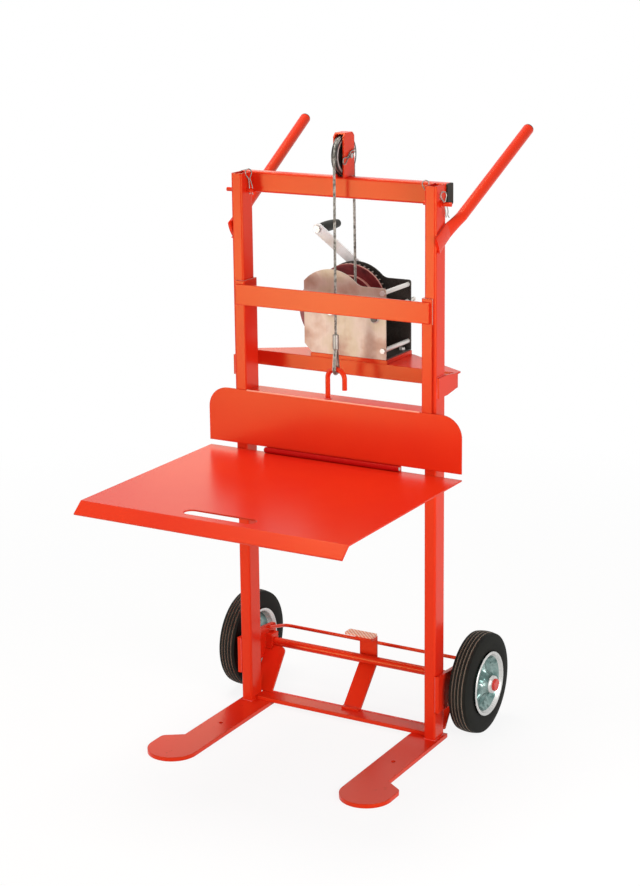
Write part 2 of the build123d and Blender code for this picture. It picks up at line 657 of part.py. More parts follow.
# Pulley bracket: an inverted U of flat bar on the top crossbar.
bracket_height = BRACKET_TOP - BEAM_TOP_Z
with BuildPart() as pulley_bracket:
    with BuildSketch(Plane.XZ.offset(-PULLEY_Y)):
        with Locations((ROPE_X, BEAM_TOP_Z + bracket_height / 2)):
            Rectangle(2 * BRACKET_HALF_WIDTH, bracket_height)
        with Locations((ROPE_X, BEAM_TOP_Z + (bracket_height - BRACKET_PLATE) / 2)):
            Rectangle(2 * (BRACKET_HALF_WIDTH - BRACKET_PLATE), bracket_height - BRACKET_PLATE, mode=Mode.SUBTRACT)
    extrude(amount=BRACKET_DEPTH / 2, both=True)
    fillet(pulley_bracket.edges().filter_by(Axis.Y).group_by(Axis.Z)[-1], BRACKET_PLATE / 2)
    with BuildSketch(Plane.YZ):
        with Locations((PULLEY_Y, BEAM_TOP_Z + bracket_height / 2)):
            Rectangle(BRACKET_DEPTH, bracket_height)
        chamfer(vertices().group_by(Axis.Y)[-1], BRACKET_ROUND)
    extrude(amount=2 * BRACKET_HALF_WIDTH, both=True, mode=Mode.INTERSECT)
    with Locations(Plane.YZ.offset(ROPE_X)):
        with Locations((PULLEY_Y, PULLEY_Z)):
            Cylinder(PULLEY_PIN_DIA / 2 + RUNNING_FIT, 4 * BRACKET_HALF_WIDTH, mode=Mode.SUBTRACT)
save(pulley_bracket, "pulley_bracket")

# Pulley pin, held by a hairpin clip at each end.
pulley_pin_half = BRACKET_HALF_WIDTH + PULLEY_PIN_OUT
with BuildPart() as pulley_pin:
    with Locations(Plane.YZ.offset(ROPE_X)):
        with Locations((PULLEY_Y, PULLEY_Z)):
            Cylinder(PULLEY_PIN_DIA / 2, 2 * pulley_pin_half)
    for side, sign in SIDES:
        with Locations(Plane.XY.offset(PULLEY_Z)):
            with Locations((ROPE_X + sign * (BRACKET_HALF_WIDTH + PULLEY_PIN_OUT / 2), PULLEY_Y)):
                Cylinder(CLIP_WIRE / 2 + RUNNING_FIT, 2 * PULLEY_PIN_DIA, mode=Mode.SUBTRACT)
save(pulley_pin, "pulley_pin")

# Pulley: a grooved wheel turned to the rope's section, with a dished web.
groove_radius = ROPE_RADIUS + FREE_GAP
hub_half = BRACKET_HALF_WIDTH - BRACKET_PLATE - WASHER_GAP
with BuildPart() as pulley:
    with BuildSketch(Plane.XY) as pulley_half:
        bore = PULLEY_PIN_DIA / 2 + RUNNING_FIT
        with BuildLine():
            Polyline(
                (-hub_half, bore),
                (-hub_half, PULLEY_PIN_DIA),
                (-PULLEY_WIDTH / 4, PULLEY_PIN_DIA),
                (-PULLEY_WIDTH / 4, PULLEY_PITCH_RADIUS - 3 * groove_radius),
                (-PULLEY_WIDTH / 2, PULLEY_PITCH_RADIUS - 2 * groove_radius),
                (-PULLEY_WIDTH / 2, PULLEY_RADIUS),
                (PULLEY_WIDTH / 2, PULLEY_RADIUS),
                (PULLEY_WIDTH / 2, PULLEY_PITCH_RADIUS - 2 * groove_radius),
                (PULLEY_WIDTH / 4, PULLEY_PITCH_RADIUS - 3 * groove_radius),
                (PULLEY_WIDTH / 4, PULLEY_PIN_DIA),
                (hub_half, PULLEY_PIN_DIA),
                (hub_half, bore),
                close=True,
            )
        make_face()
        with Locations((0, PULLEY_PITCH_RADIUS)):
            Circle(groove_radius, mode=Mode.SUBTRACT)
        with Locations((0, PULLEY_PITCH_RADIUS + groove_radius)):
            Rectangle(2 * groove_radius, 2 * groove_radius, mode=Mode.SUBTRACT)
    revolve(axis=Axis.X)
pulley.part.position = (ROPE_X, PULLEY_Y, PULLEY_Z)
save(pulley, "pulley")

# Shelf arms: tapered tabs on the outer sides of the masts, which carry the shelf.
arm_middle_z = SHELF_TOP_Z - SHELF_BAR_HEIGHT / 2
with BuildPart() as shelf_arms:
    for side, sign in SIDES:
        with BuildSketch(Plane.YZ.offset(sign * (MAST_OUTER_X + ARM_THICK / 2))):
            with BuildLine():
                Polyline(
                    (MAST_FRONT_Y + TUBE_CORNER, arm_middle_z - ARM_FRONT_HEIGHT / 2),
                    (MAST_FRONT_Y + TUBE_CORNER, arm_middle_z + ARM_FRONT_HEIGHT / 2),
                    (MAST_BACK_Y, arm_middle_z + ARM_FRONT_HEIGHT / 2),
                    (SHELF_FRONT_Y, SHELF_TOP_Z),
                    (SHELF_FRONT_Y, SHELF_TOP_Z - SHELF_BAR_HEIGHT),
                    (MAST_BACK_Y, arm_middle_z - ARM_FRONT_HEIGHT / 2),
                    close=True,
                )
            make_face()
        extrude(amount=ARM_THICK / 2, both=True)
save(shelf_arms, "shelf_arms")

# Winch shelf: one sheet, a tapering top with its front edge folded down as a lip.
lip_back_y = SHELF_FRONT_Y + SHELF_BAR_THICK
with BuildPart() as winch_shelf:
    with BuildSketch(Plane.XY.offset(SHELF_TOP_Z)):
        Polygon(
            (-SHELF_HALF, SHELF_FRONT_Y),
            (SHELF_HALF, SHELF_FRONT_Y),
            (SHELF_HALF, lip_back_y + SHELF_SHOULDER),
            (SHELF_BACK_HALF, SHELF_BACK_Y),
            (-SHELF_BACK_HALF, SHELF_BACK_Y),
            (-SHELF_HALF, lip_back_y + SHELF_SHOULDER),
            align=None,
        )
    extrude(amount=-SHELF_PLATE_THICK)
    with BuildSketch(Plane.XY.offset(SHELF_TOP_Z)):
        with Locations((0, SHELF_FRONT_Y + SHELF_BAR_THICK / 2)):
            Rectangle(2 * SHELF_HALF, SHELF_BAR_THICK)
    extrude(amount=-SHELF_BAR_HEIGHT)
save(winch_shelf, "winch_shelf")

# Winch pad: a raised plate on the shelf, with the four mounting holes.
pad_width = WINCH_PAD_RIGHT - WINCH_PAD_LEFT
pad_depth = SHELF_BACK_Y - SHELF_FRONT_Y
pad_centre = ((WINCH_PAD_LEFT + WINCH_PAD_RIGHT) / 2, SHELF_FRONT_Y + pad_depth / 2)
with BuildPart() as winch_pad:
    with BuildSketch(Plane.XY.offset(SHELF_TOP_Z)):
        with Locations(pad_centre):
            Rectangle(pad_width, pad_depth)
    extrude(amount=WINCH_PAD_THICK)
save(winch_pad, "winch_pad")


def winch_outline():
    """Draws the side plate's outline, with its hump over the gear, in X and Z."""
    hump_radius = GEAR_PITCH_RADIUS + TOOTH_MODULE + HUMP_CLEARANCE
    side_top_z = WINCH_BOTTOM_Z + WINCH_SIDE_TOP
    width = WINCH_RIGHT_X - WINCH_LEFT_X
    with Locations(((WINCH_LEFT_X + WINCH_RIGHT_X) / 2, WINCH_BOTTOM_Z + WINCH_SIDE_TOP / 2)):
        Rectangle(width, WINCH_SIDE_TOP)
    with Locations((GEAR_X, GEAR_Z)):
        Circle(hump_radius)
    with Locations((WINCH_LEFT_X - hump_radius, GEAR_Z)):
        Rectangle(2 * hump_radius, 3 * hump_radius, mode=Mode.SUBTRACT)
    hump_rise = side_top_z - GEAR_Z
    blend_x = GEAR_X + sqrt(hump_radius**2 - hump_rise**2)
    fillet(vertices().sort_by_distance((blend_x, side_top_z))[0], HUMP_BLEND)
    chamfer(vertices().sort_by_distance((WINCH_LEFT_X, WINCH_BOTTOM_Z))[0], WINCH_CHAMFER)
    fillet(vertices().sort_by_distance((WINCH_RIGHT_X, side_top_z))[0], PLATE_FILLET)


# Winch side plates, with bores for the drum axle, the pinion shaft and the ties.
tie_x = WINCH_RIGHT_X - TIE_INSET_X
tie_high_z = WINCH_BOTTOM_Z + WINCH_SIDE_TOP - TIE_TOP_DROP - TIE_DIA / 2
tie_low_z = WINCH_BOTTOM_Z + TIE_LOW_RISE
TIE_PLACES = ((tie_x, tie_high_z), (tie_x, tie_low_z))
for plate_name, plate_y in (("front", WINCH_INNER_FRONT_Y), ("rear", WINCH_BACK_Y)):
    with BuildPart() as winch_plate:
        with BuildSketch(Plane.XZ.offset(-plate_y)):
            winch_outline()
            with Locations((GEAR_X, GEAR_Z)):
                Circle(DRUM_AXLE_DIA / 2, mode=Mode.SUBTRACT)
            with Locations(*TIE_PLACES):
                Circle(TIE_DIA / 2, mode=Mode.SUBTRACT)
            with Locations((PINION_X, PINION_Z)):
                Circle(PINION_SHAFT_DIA / 2 + RUNNING_FIT, mode=Mode.SUBTRACT)
        extrude(amount=PLATE_THICK)
    save(winch_plate, f"winch_{plate_name}_plate")

# Winch base: the bottom sheet between the side plates.
with BuildPart() as winch_base:
    with BuildSketch(Plane.XY.offset(WINCH_BOTTOM_Z)):
        base_left = WINCH_LEFT_X + WINCH_CHAMFER
        with Locations(((base_left + WINCH_RIGHT_X) / 2, (WINCH_INNER_FRONT_Y + WINCH_INNER_BACK_Y) / 2)):
            Rectangle(WINCH_RIGHT_X - base_left, WINCH_INNER_BACK_Y - WINCH_INNER_FRONT_Y)
    extrude(amount=PLATE_THICK)
save(winch_base, "winch_base")

# Tie bars between the side plates, with a hexagon head outside each plate.
inner_depth = WINCH_INNER_BACK_Y - WINCH_INNER_FRONT_Y
with BuildPart() as winch_ties:
    for place in TIE_PLACES:
        with BuildSketch(Plane.XZ.offset(-WINCH_BACK_Y)):
            with Locations(place):
                Circle(TIE_DIA / 2)
        extrude(amount=inner_depth + 2 * PLATE_THICK)
        with BuildSketch(Plane.XZ.offset(-WINCH_FRONT_Y)):
            with Locations(place):
                RegularPolygon(TIE_HEAD / 2, HEX_SIDES)
        extrude(amount=TIE_HEAD_HIGH)
        with BuildSketch(Plane.XZ.offset(-WINCH_BACK_Y)):
            with Locations(place):
                RegularPolygon(TIE_HEAD / 2, HEX_SIDES)
        extrude(amount=-TIE_HEAD_HIGH)
save(winch_ties, "winch_ties")

# Mounting bolts that hold the winch base on the pad.
bolt_inset = BOLT_HEAD
with BuildPart() as mounting_bolts:
    with BuildSketch(Plane.XY.offset(WINCH_BOTTOM_Z + PLATE_THICK)):
        bolt_centre_x = (WINCH_LEFT_X + WINCH_CHAMFER + WINCH_RIGHT_X) / 2
        bolt_span_x = WINCH_RIGHT_X - WINCH_LEFT_X - WINCH_CHAMFER - 2 * bolt_inset
        with Locations((bolt_centre_x, (WINCH_INNER_FRONT_Y + WINCH_INNER_BACK_Y) / 2)):
            with GridLocations(bolt_span_x, inner_depth - 2 * bolt_inset, 2, 2):
                RegularPolygon(BOLT_HEAD / 2, HEX_SIDES)
    extrude(amount=BOLT_HEAD_HIGH)
save(mounting_bolts, "mounting_bolts")

# Drum axle: a fixed shaft across the side plates, with collars outside.
with BuildPart() as drum_axle:
    with BuildSketch(Plane.XZ.offset(-WINCH_BACK_Y - SHAFT_STUB)):
        with Locations((GEAR_X, GEAR_Z)):
            Circle(DRUM_AXLE_DIA / 2)
    extrude(amount=WINCH_DEPTH + 2 * SHAFT_STUB)
save(drum_axle, "drum_axle")

# Rope drum: a hub with two flanges, turned as one profile.
drum_bore = DRUM_AXLE_DIA / 2 + RUNNING_FIT
with BuildPart() as drum:
    with BuildSketch(Plane.YZ):
        with BuildLine():
            Polyline(
                (DRUM_FRONT_Y, drum_bore),
                (DRUM_FRONT_Y, FLANGE_RADIUS),
                (DRUM_FRONT_Y + FLANGE_THICK, FLANGE_RADIUS),
                (DRUM_FRONT_Y + FLANGE_THICK, DRUM_RADIUS),
                (GEAR_FRONT_Y - FLANGE_THICK, DRUM_RADIUS),
                (GEAR_FRONT_Y - FLANGE_THICK, FLANGE_RADIUS),
                (GEAR_FRONT_Y, FLANGE_RADIUS),
                (GEAR_FRONT_Y, drum_bore),
                close=True,
            )
        make_face()
    revolve(axis=Axis.Y)
drum.part.position = (GEAR_X, 0, GEAR_Z)
save(drum, "drum")


def toothed_disc(teeth, first_angle):
    """Draws a gear outline about the sketch origin, with a tooth at first_angle."""
    pitch_radius = TOOTH_MODULE * teeth / 2
    root_radius = pitch_radius - DEDENDUM_SHARE * TOOTH_MODULE
    tip_radius = pitch_radius + ADDENDUM_SHARE * TOOTH_MODULE
    half_root = pi * TOOTH_MODULE * (TOOTH_SHARE + (TOOTH_SHARE - TIP_SHARE)) / 2
    half_tip = pi * TOOTH_MODULE * TIP_SHARE / 2
    Circle(root_radius)
    with PolarLocations(0, teeth, start_angle=first_angle):
        Polygon(
            (root_radius - TOOTH_MODULE, -half_root),
            (tip_radius, -half_tip),
            (tip_radius, half_tip),
            (root_radius - TOOTH_MODULE, half_root),
            align=None,
        )


# Drum gear: a spur wheel on the drum's rear flange, with a tooth at the mesh.
gear_plane = Plane(origin=(GEAR_X, GEAR_BACK_Y, GEAR_Z), x_dir=(1, 0, 0), z_dir=(0, -1, 0))
with BuildPart() as drum_gear:
    with BuildSketch(gear_plane):
        toothed_disc(GEAR_TEETH, MESH_ANGLE)
        Circle(drum_bore, mode=Mode.SUBTRACT)
    extrude(amount=GEAR_THICK)
save(drum_gear, "drum_gear")

# Rope wound on the drum: the outer shape of its first layer.
winding_start_y = BACK_STRAND_Y - ROPE_RADIUS
with BuildPart() as rope_winding:
    with BuildSketch(Plane.XZ.offset(-winding_start_y)):
        with Locations((GEAR_X, GEAR_Z)):
            Circle(DRUM_RADIUS + ROPE_DIA)
            Circle(DRUM_RADIUS, mode=Mode.SUBTRACT)
    extrude(amount=-ROPE_TURNS * ROPE_DIA)
save(rope_winding, "rope_winding")

# Pinion and its shaft, with a gap of its teeth at the mesh.
pinion_plane = Plane(origin=(PINION_X, GEAR_BACK_Y + TOOTH_MODULE / 2, PINION_Z), x_dir=(1, 0, 0), z_dir=(0, -1, 0))
crank_front_y = WINCH_BACK_Y + BRAKE_THICK + 2 * WASHER_GAP
shaft_front_y = WINCH_FRONT_Y - SHAFT_STUB
shaft_back_y = crank_front_y + CRANK_THICK + SHAFT_STUB
with BuildPart() as pinion_shaft:
    with BuildSketch(pinion_plane):
        toothed_disc(PINION_TEETH, MESH_ANGLE + 180 + 180 / PINION_TEETH)
    extrude(amount=GEAR_THICK + TOOTH_MODULE)
    with BuildSketch(Plane.XZ.offset(-shaft_back_y)):
        with Locations((PINION_X, PINION_Z)):
            Circle(PINION_SHAFT_DIA / 2)
    extrude(amount=shaft_back_y - shaft_front_y)
save(pinion_shaft, "pinion_shaft")

# Brake hub: the friction disc that holds the load, between rear plate and crank.
with BuildPart() as brake_hub:
    with BuildSketch(Plane.XZ.offset(-WINCH_BACK_Y - WASHER_GAP)):
        with Locations((PINION_X, PINION_Z)):
            Circle(BRAKE_DIA / 2)
            Circle(PINION_SHAFT_DIA / 2, mode=Mode.SUBTRACT)
    extrude(amount=-BRAKE_THICK)
    chamfer(brake_hub.edges().filter_by(GeomType.CIRCLE).group_by(SortBy.RADIUS)[-1], BRAKE_THICK / 8)
save(brake_hub, "brake_hub")

# Crank arm: a flat bar with round ends.
crank_end_x = PINION_X + CRANK_LENGTH * cos(radians(CRANK_ANGLE))
crank_end_z = PINION_Z + CRANK_LENGTH * sin(radians(CRANK_ANGLE))
with BuildPart() as crank_arm:
    with BuildSketch(Plane.XZ.offset(-crank_front_y)):
        with Locations(Location(((PINION_X + crank_end_x) / 2, (PINION_Z + crank_end_z) / 2, 0), CRANK_ANGLE)):
            SlotCenterToCenter(CRANK_LENGTH, CRANK_WIDTH)
        with Locations((PINION_X, PINION_Z)):
            Circle(PINION_SHAFT_DIA / 2, mode=Mode.SUBTRACT)
        with Locations((crank_end_x, crank_end_z)):
            Circle(SPINDLE_DIA / 2, mode=Mode.SUBTRACT)
    extrude(amount=-CRANK_THICK)
save(crank_arm, "crank_arm")

# Nut that holds the crank on its shaft.
with BuildPart() as crank_nut:
    with BuildSketch(Plane.XZ.offset(-crank_front_y - CRANK_THICK)):
        with Locations((PINION_X, PINION_Z)):
            RegularPolygon(CRANK_NUT_DIA / 2, HEX_SIDES)
            Circle(PINION_SHAFT_DIA / 2, mode=Mode.SUBTRACT)
    extrude(amount=-SHAFT_STUB)
save(crank_nut, "crank_nut")

# Grip spindle: a bolt through the crank's free end, with its head at the front.
grip_front_y = crank_front_y + CRANK_THICK + WASHER_GAP
with BuildPart() as grip_spindle:
    with BuildSketch(Plane.XZ.offset(-crank_front_y)):
        with Locations((crank_end_x, crank_end_z)):
            Circle(SPINDLE_DIA / 2)
    extrude(amount=-(CRANK_THICK + GRIP_LENGTH - SPINDLE_DIA))
    with BuildSketch(Plane.XZ.offset(-crank_front_y)):
        with Locations((crank_end_x, crank_end_z)):
            RegularPolygon(SPINDLE_HEAD / 2, HEX_SIDES)
    extrude(amount=SPINDLE_DIA / 2)
save(grip_spindle, "grip_spindle")

# Crank grip: a turned handle that spins on its spindle.
grip_bore = SPINDLE_DIA / 2 + RUNNING_FIT
with BuildPart() as crank_grip:
    with BuildSketch(Plane.YZ):
        with BuildLine():
            grip_foot = (grip_front_y, GRIP_DIA / 2 * 0.8)
            grip_swell = (grip_front_y + GRIP_LENGTH / 2, GRIP_DIA / 2)
            grip_end = (grip_front_y + GRIP_LENGTH, GRIP_DIA / 2 * 0.75)
            ThreePointArc(grip_foot, grip_swell, grip_end)
            Polyline(grip_end, (grip_end[0], 0), (grip_foot[0], 0), grip_foot)
        make_face()
        with Locations((grip_front_y + (GRIP_LENGTH - SPINDLE_DIA) / 2, 0)):
            Rectangle(GRIP_LENGTH - SPINDLE_DIA, 2 * grip_bore, mode=Mode.SUBTRACT)
    revolve(axis=Axis.Y)
crank_grip.part.position = (crank_end_x, 0, crank_end_z)
save(crank_grip, "crank_grip")

# Carriage channels: they wrap the front, inner side and back of each mast.
channel_depth = CHANNEL_BACK_Y - CHANNEL_FRONT_Y
with BuildPart() as carriage_channels:
    for side, sign in SIDES:
        web_centre_x = sign * (CHANNEL_WEB_X + CHANNEL_FLANGE / 2)
        with BuildSketch(Plane.XY.offset(CHANNEL_BOTTOM_Z)):
            with Locations((web_centre_x, 0)):
                Rectangle(CHANNEL_FLANGE, channel_depth)
            with Locations((web_centre_x + sign * CHANNEL_WALL, 0)):
                Rectangle(CHANNEL_FLANGE, channel_depth - 2 * CHANNEL_WALL, mode=Mode.SUBTRACT)
        extrude(amount=CHANNEL_TOP_Z - CHANNEL_BOTTOM_Z)
    middle = (0, 0, (CHANNEL_TOP_Z + CHANNEL_BOTTOM_Z) / 2)
    bends = carriage_channels.edges().filter_by(Axis.Z).sort_by_distance(middle)
    fillet(bends[:4], CHANNEL_WALL)
save(carriage_channels, "carriage_channels")

# Guide pads: thin nylon liners at the top and bottom of each channel.
with BuildPart() as guide_pads:
    for side, sign in SIDES:
        for pad_z in (CHANNEL_BOTTOM_Z, CHANNEL_TOP_Z - GUIDE_PAD_LENGTH):
            liner_x = CHANNEL_WEB_X + CHANNEL_WALL
            liner_width = CHANNEL_FLANGE - CHANNEL_WALL
            liner_depth = MAST_DEPTH + 2 * CHANNEL_GAP
            with BuildSketch(Plane.XY.offset(pad_z)):
                with Locations((sign * (liner_x + liner_width / 2), 0)):
                    Rectangle(liner_width, liner_depth)
                with Locations((sign * (liner_x + GUIDE_PAD + liner_width / 2), 0)):
                    Rectangle(liner_width, liner_depth - 2 * GUIDE_PAD, mode=Mode.SUBTRACT)
            extrude(amount=GUIDE_PAD_LENGTH)
save(guide_pads, "guide_pads")

# Middle bar: a flat bar across the channels.
with BuildPart() as middle_bar:
    with BuildSketch(Plane.XZ.offset(-CHANNEL_FRONT_Y)):
        with Locations((0, MID_BAR_TOP_Z - MID_BAR_HEIGHT / 2)):
            Rectangle(2 * MID_BAR_HALF, MID_BAR_HEIGHT)
    extrude(amount=MID_BAR_THICK)
save(middle_bar, "middle_bar")

# Back plate: a wide plate with rounded upper corners.
back_plate_height = BACK_PLATE_TOP_Z - BACK_PLATE_BOTTOM_Z
with BuildPart() as back_plate:
    with BuildSketch(Plane.XZ.offset(-CHANNEL_FRONT_Y)):
        with Locations((0, BACK_PLATE_BOTTOM_Z + back_plate_height / 2)):
            Rectangle(2 * PLATFORM_HALF, back_plate_height)
        fillet(vertices().group_by(Axis.Y)[-1], BACK_PLATE_RADIUS)
    extrude(amount=BACK_PLATE_THICK)
save(back_plate, "back_plate")

# Cross member behind the top of the back plate: an angle between the channels.
cross_depth = CHANNEL_BACK_Y - CHANNEL_FRONT_Y
with BuildPart() as cross_member:
    with BuildSketch(Plane.YZ):
        with Locations(((CHANNEL_FRONT_Y + CHANNEL_BACK_Y) / 2, CROSS_TOP_Z - CROSS_WALL / 2)):
            Rectangle(cross_depth, CROSS_WALL)
        with Locations((CHANNEL_BACK_Y - CROSS_WALL / 2, CROSS_TOP_Z - CROSS_LEG / 2)):
            Rectangle(CROSS_WALL, CROSS_LEG)
    extrude(amount=CHANNEL_WEB_X, both=True)
save(cross_member, "cross_member")

# Lifting hook: a round rod bent over, with one long leg on the cross tube.
hook_rod_top_z = HOOK_TOP_Z - HOOK_ROD / 2
hook_short_z = hook_rod_top_z - HOOK_HALF - HOOK_FREE_LEG
with BuildPart() as lifting_hook:
    with BuildLine() as hook_path:
        hook_long = Line(
            (ROPE_X - HOOK_HALF, FRONT_STRAND_Y, CROSS_TOP_Z),
            (ROPE_X - HOOK_HALF, FRONT_STRAND_Y, hook_rod_top_z - HOOK_HALF),
        )
        hook_bow = ThreePointArc(
            hook_long @ 1,
            (ROPE_X, FRONT_STRAND_Y, hook_rod_top_z),
            (ROPE_X + HOOK_HALF, FRONT_STRAND_Y, hook_rod_top_z - HOOK_HALF),
        )
        Line(hook_bow @ 1, (ROPE_X + HOOK_HALF, FRONT_STRAND_Y, hook_short_z))
    with BuildSketch(Plane(hook_long @ 0, z_dir=hook_long % 0)):
        Circle(HOOK_ROD / 2)
    sweep(path=hook_path.wires()[0])
save(lifting_hook, "lifting_hook")

# Thimble: the metal eye that lines the rope's loop round the hook.
thimble_inner = HOOK_ROD / 2 + THIMBLE_PLAY
thimble_outer = thimble_inner + THIMBLE_WALL
thimble_apex_z = FERRULE_BOTTOM_Z
with BuildPart() as rope_thimble:
    with BuildSketch(Plane.YZ.offset(ROPE_X)):
        apex_y = FRONT_STRAND_Y
        half_apex = FERRULE_DIA / 4
        for radius, apex_z, mode in (
            (thimble_outer, thimble_apex_z, Mode.ADD),
            (thimble_inner, thimble_apex_z - THIMBLE_WALL * 2, Mode.SUBTRACT),
        ):
            with Locations((apex_y, hook_rod_top_z)):
                Circle(radius, mode=mode)
            with BuildLine():
                Polyline(
                    (apex_y - radius, hook_rod_top_z),
                    (apex_y - half_apex * radius / thimble_outer, apex_z),
                    (apex_y + half_apex * radius / thimble_outer, apex_z),
                    (apex_y + radius, hook_rod_top_z),
                    close=True,
                )
            make_face(mode=mode)
    extrude(amount=THIMBLE_WIDTH / 2, both=True)
save(rope_thimble, "rope_thimble")

# Ferrule: the pressed sleeve that closes the rope's eye.
with BuildPart() as rope_ferrule:
    with BuildSketch(Plane.XY.offset(FERRULE_BOTTOM_Z)):
        with Locations((ROPE_X, FRONT_STRAND_Y)):
            Circle(FERRULE_DIA / 2)
    extrude(amount=FERRULE_LENGTH)
    fillet(rope_ferrule.edges().filter_by(GeomType.CIRCLE), FERRULE_DIA / 6)
save(rope_ferrule, "rope_ferrule")

# Rope from the ferrule up to the pulley.
with BuildPart() as rope_front_strand:
    with BuildSketch(Plane.XY.offset(FERRULE_BOTTOM_Z + FERRULE_LENGTH)):
        with Locations((ROPE_X, FRONT_STRAND_Y)):
            Circle(ROPE_RADIUS)
    extrude(amount=PULLEY_Z - FERRULE_BOTTOM_Z - FERRULE_LENGTH)
save(rope_front_strand, "rope_front_strand")

# Rope over the pulley and down to the drum.
winding_reach = sqrt((DRUM_RADIUS + ROPE_DIA) ** 2 - (ROPE_X - ROPE_RADIUS - GEAR_X) ** 2)
strand_end_z = GEAR_Z + winding_reach + FREE_GAP
with BuildPart() as rope_back_strand:
    with BuildLine() as back_path:
        over_pulley = ThreePointArc(
            (ROPE_X, FRONT_STRAND_Y, PULLEY_Z),
            (ROPE_X, PULLEY_Y, PULLEY_Z + PULLEY_PITCH_RADIUS),
            (ROPE_X, BACK_STRAND_Y, PULLEY_Z),
        )
        Line(over_pulley @ 1, (ROPE_X, BACK_STRAND_Y, strand_end_z))
    with BuildSketch(Plane(over_pulley @ 0, z_dir=over_pulley % 0)):
        Circle(ROPE_RADIUS)
    sweep(path=back_path.wires()[0])
save(rope_back_strand, "rope_back_strand")
print("rope arc radii:", PULLEY_PITCH_RADIUS)

# Stop plate: hangs behind the hinge, and the platform's rear flange bears on it.
with BuildPart() as stop_plate:
    with BuildSketch(Plane.XZ.offset(-CHANNEL_FRONT_Y)):
        with Locations((0, (STOP_PLATE_TOP_Z + STOP_PLATE_BOTTOM_Z) / 2)):
            Rectangle(2 * KNUCKLE_HALF, STOP_PLATE_TOP_Z - STOP_PLATE_BOTTOM_Z)
    extrude(amount=-STOP_PLATE_THICK)
save(stop_plate, "stop_plate")

# Hinge pin and the long middle knuckle under the back plate.
with BuildPart() as hinge_pin:
    with BuildSketch(Plane.YZ.offset(-KNUCKLE_HALF - HINGE_PIN_HEAD)):
        with Locations((HINGE_Y, HINGE_Z)):
            Circle(HINGE_PIN_RADIUS)
    extrude(amount=2 * (KNUCKLE_HALF + HINGE_PIN_HEAD))
save(hinge_pin, "hinge_pin")

with BuildPart() as middle_knuckle:
    with BuildSketch(Plane.YZ.offset(-KNUCKLE_CENTRE_HALF + FREE_GAP)):
        with Locations((HINGE_Y, HINGE_Z)):
            Circle(KNUCKLE_RADIUS)
            Circle(HINGE_PIN_RADIUS, mode=Mode.SUBTRACT)
    extrude(amount=2 * (KNUCKLE_CENTRE_HALF - FREE_GAP))
save(middle_knuckle, "middle_knuckle")

# End knuckles on the platform.
with BuildPart() as end_knuckles:
    for side, sign in SIDES:
        knuckle_plane = Plane(
            origin=(sign * KNUCKLE_CENTRE_HALF, HINGE_Y, HINGE_Z), x_dir=(0, 1, 0), z_dir=(sign, 0, 0)
        )
        with BuildSketch(knuckle_plane):
            Circle(KNUCKLE_RADIUS)
            Circle(HINGE_PIN_RADIUS + RUNNING_FIT, mode=Mode.SUBTRACT)
        extrude(amount=KNUCKLE_HALF - KNUCKLE_CENTRE_HALF)
save(end_knuckles, "end_knuckles")

# Platform: a flat sheet with a bent front lip, a hand slot and a rear flange,
# which bears on the stop plate.
platform_mid_z = PLATFORM_TOP_Z - PLATFORM_THICK / 2
slot_y = PLATFORM_BEND_Y + HAND_SLOT_EDGE + HAND_SLOT_WIDTH / 2
platform_points = (
    (PLATFORM_REAR_Y, platform_mid_z),
    (PLATFORM_BEND_Y, platform_mid_z),
    (PLATFORM_BEND_Y - LIP_RUN, platform_mid_z - LIP_DROP),
)
with BuildPart() as platform:
    with BuildSketch(Plane.YZ):
        Polygon(*strip(platform_points, PLATFORM_THICK), align=None)
    extrude(amount=PLATFORM_HALF, both=True)
    with BuildSketch(Plane.XY.offset(PLATFORM_TOP_Z + OVERRUN)):
        with Locations((0, slot_y)):
            SlotOverall(HAND_SLOT_LENGTH, HAND_SLOT_WIDTH)
    extrude(amount=-(PLATFORM_THICK + 2 * OVERRUN), mode=Mode.SUBTRACT)
    with BuildSketch(Plane.XZ.offset(-PLATFORM_REAR_Y)):
        with Locations((0, (platform_mid_z + STOP_PLATE_BOTTOM_Z) / 2)):
            Rectangle(2 * KNUCKLE_HALF, platform_mid_z - STOP_PLATE_BOTTOM_Z)
    extrude(amount=REAR_FLANGE_THICK)
save(platform, "platform")

# Ribs under the platform, tapering to the front.
rib_top_z = PLATFORM_TOP_Z - PLATFORM_THICK
rib_back_y = PLATFORM_REAR_Y - REAR_FLANGE_THICK
with BuildPart() as platform_ribs:
    for side, sign in SIDES:
        with BuildSketch(Plane.YZ.offset(sign * RIB_X)):
            with BuildLine():
                Polyline(
                    (rib_back_y, rib_top_z),
                    (PLATFORM_BEND_Y + RIB_FRONT_GAP, rib_top_z),
                    (PLATFORM_BEND_Y + RIB_FRONT_GAP, rib_top_z - RIB_NOSE),
                    (rib_back_y, rib_top_z - RIB_HEIGHT),
                    close=True,
                )
            make_face()
        extrude(amount=RIB_THICK / 2, both=True)
save(platform_ribs, "platform_ribs")

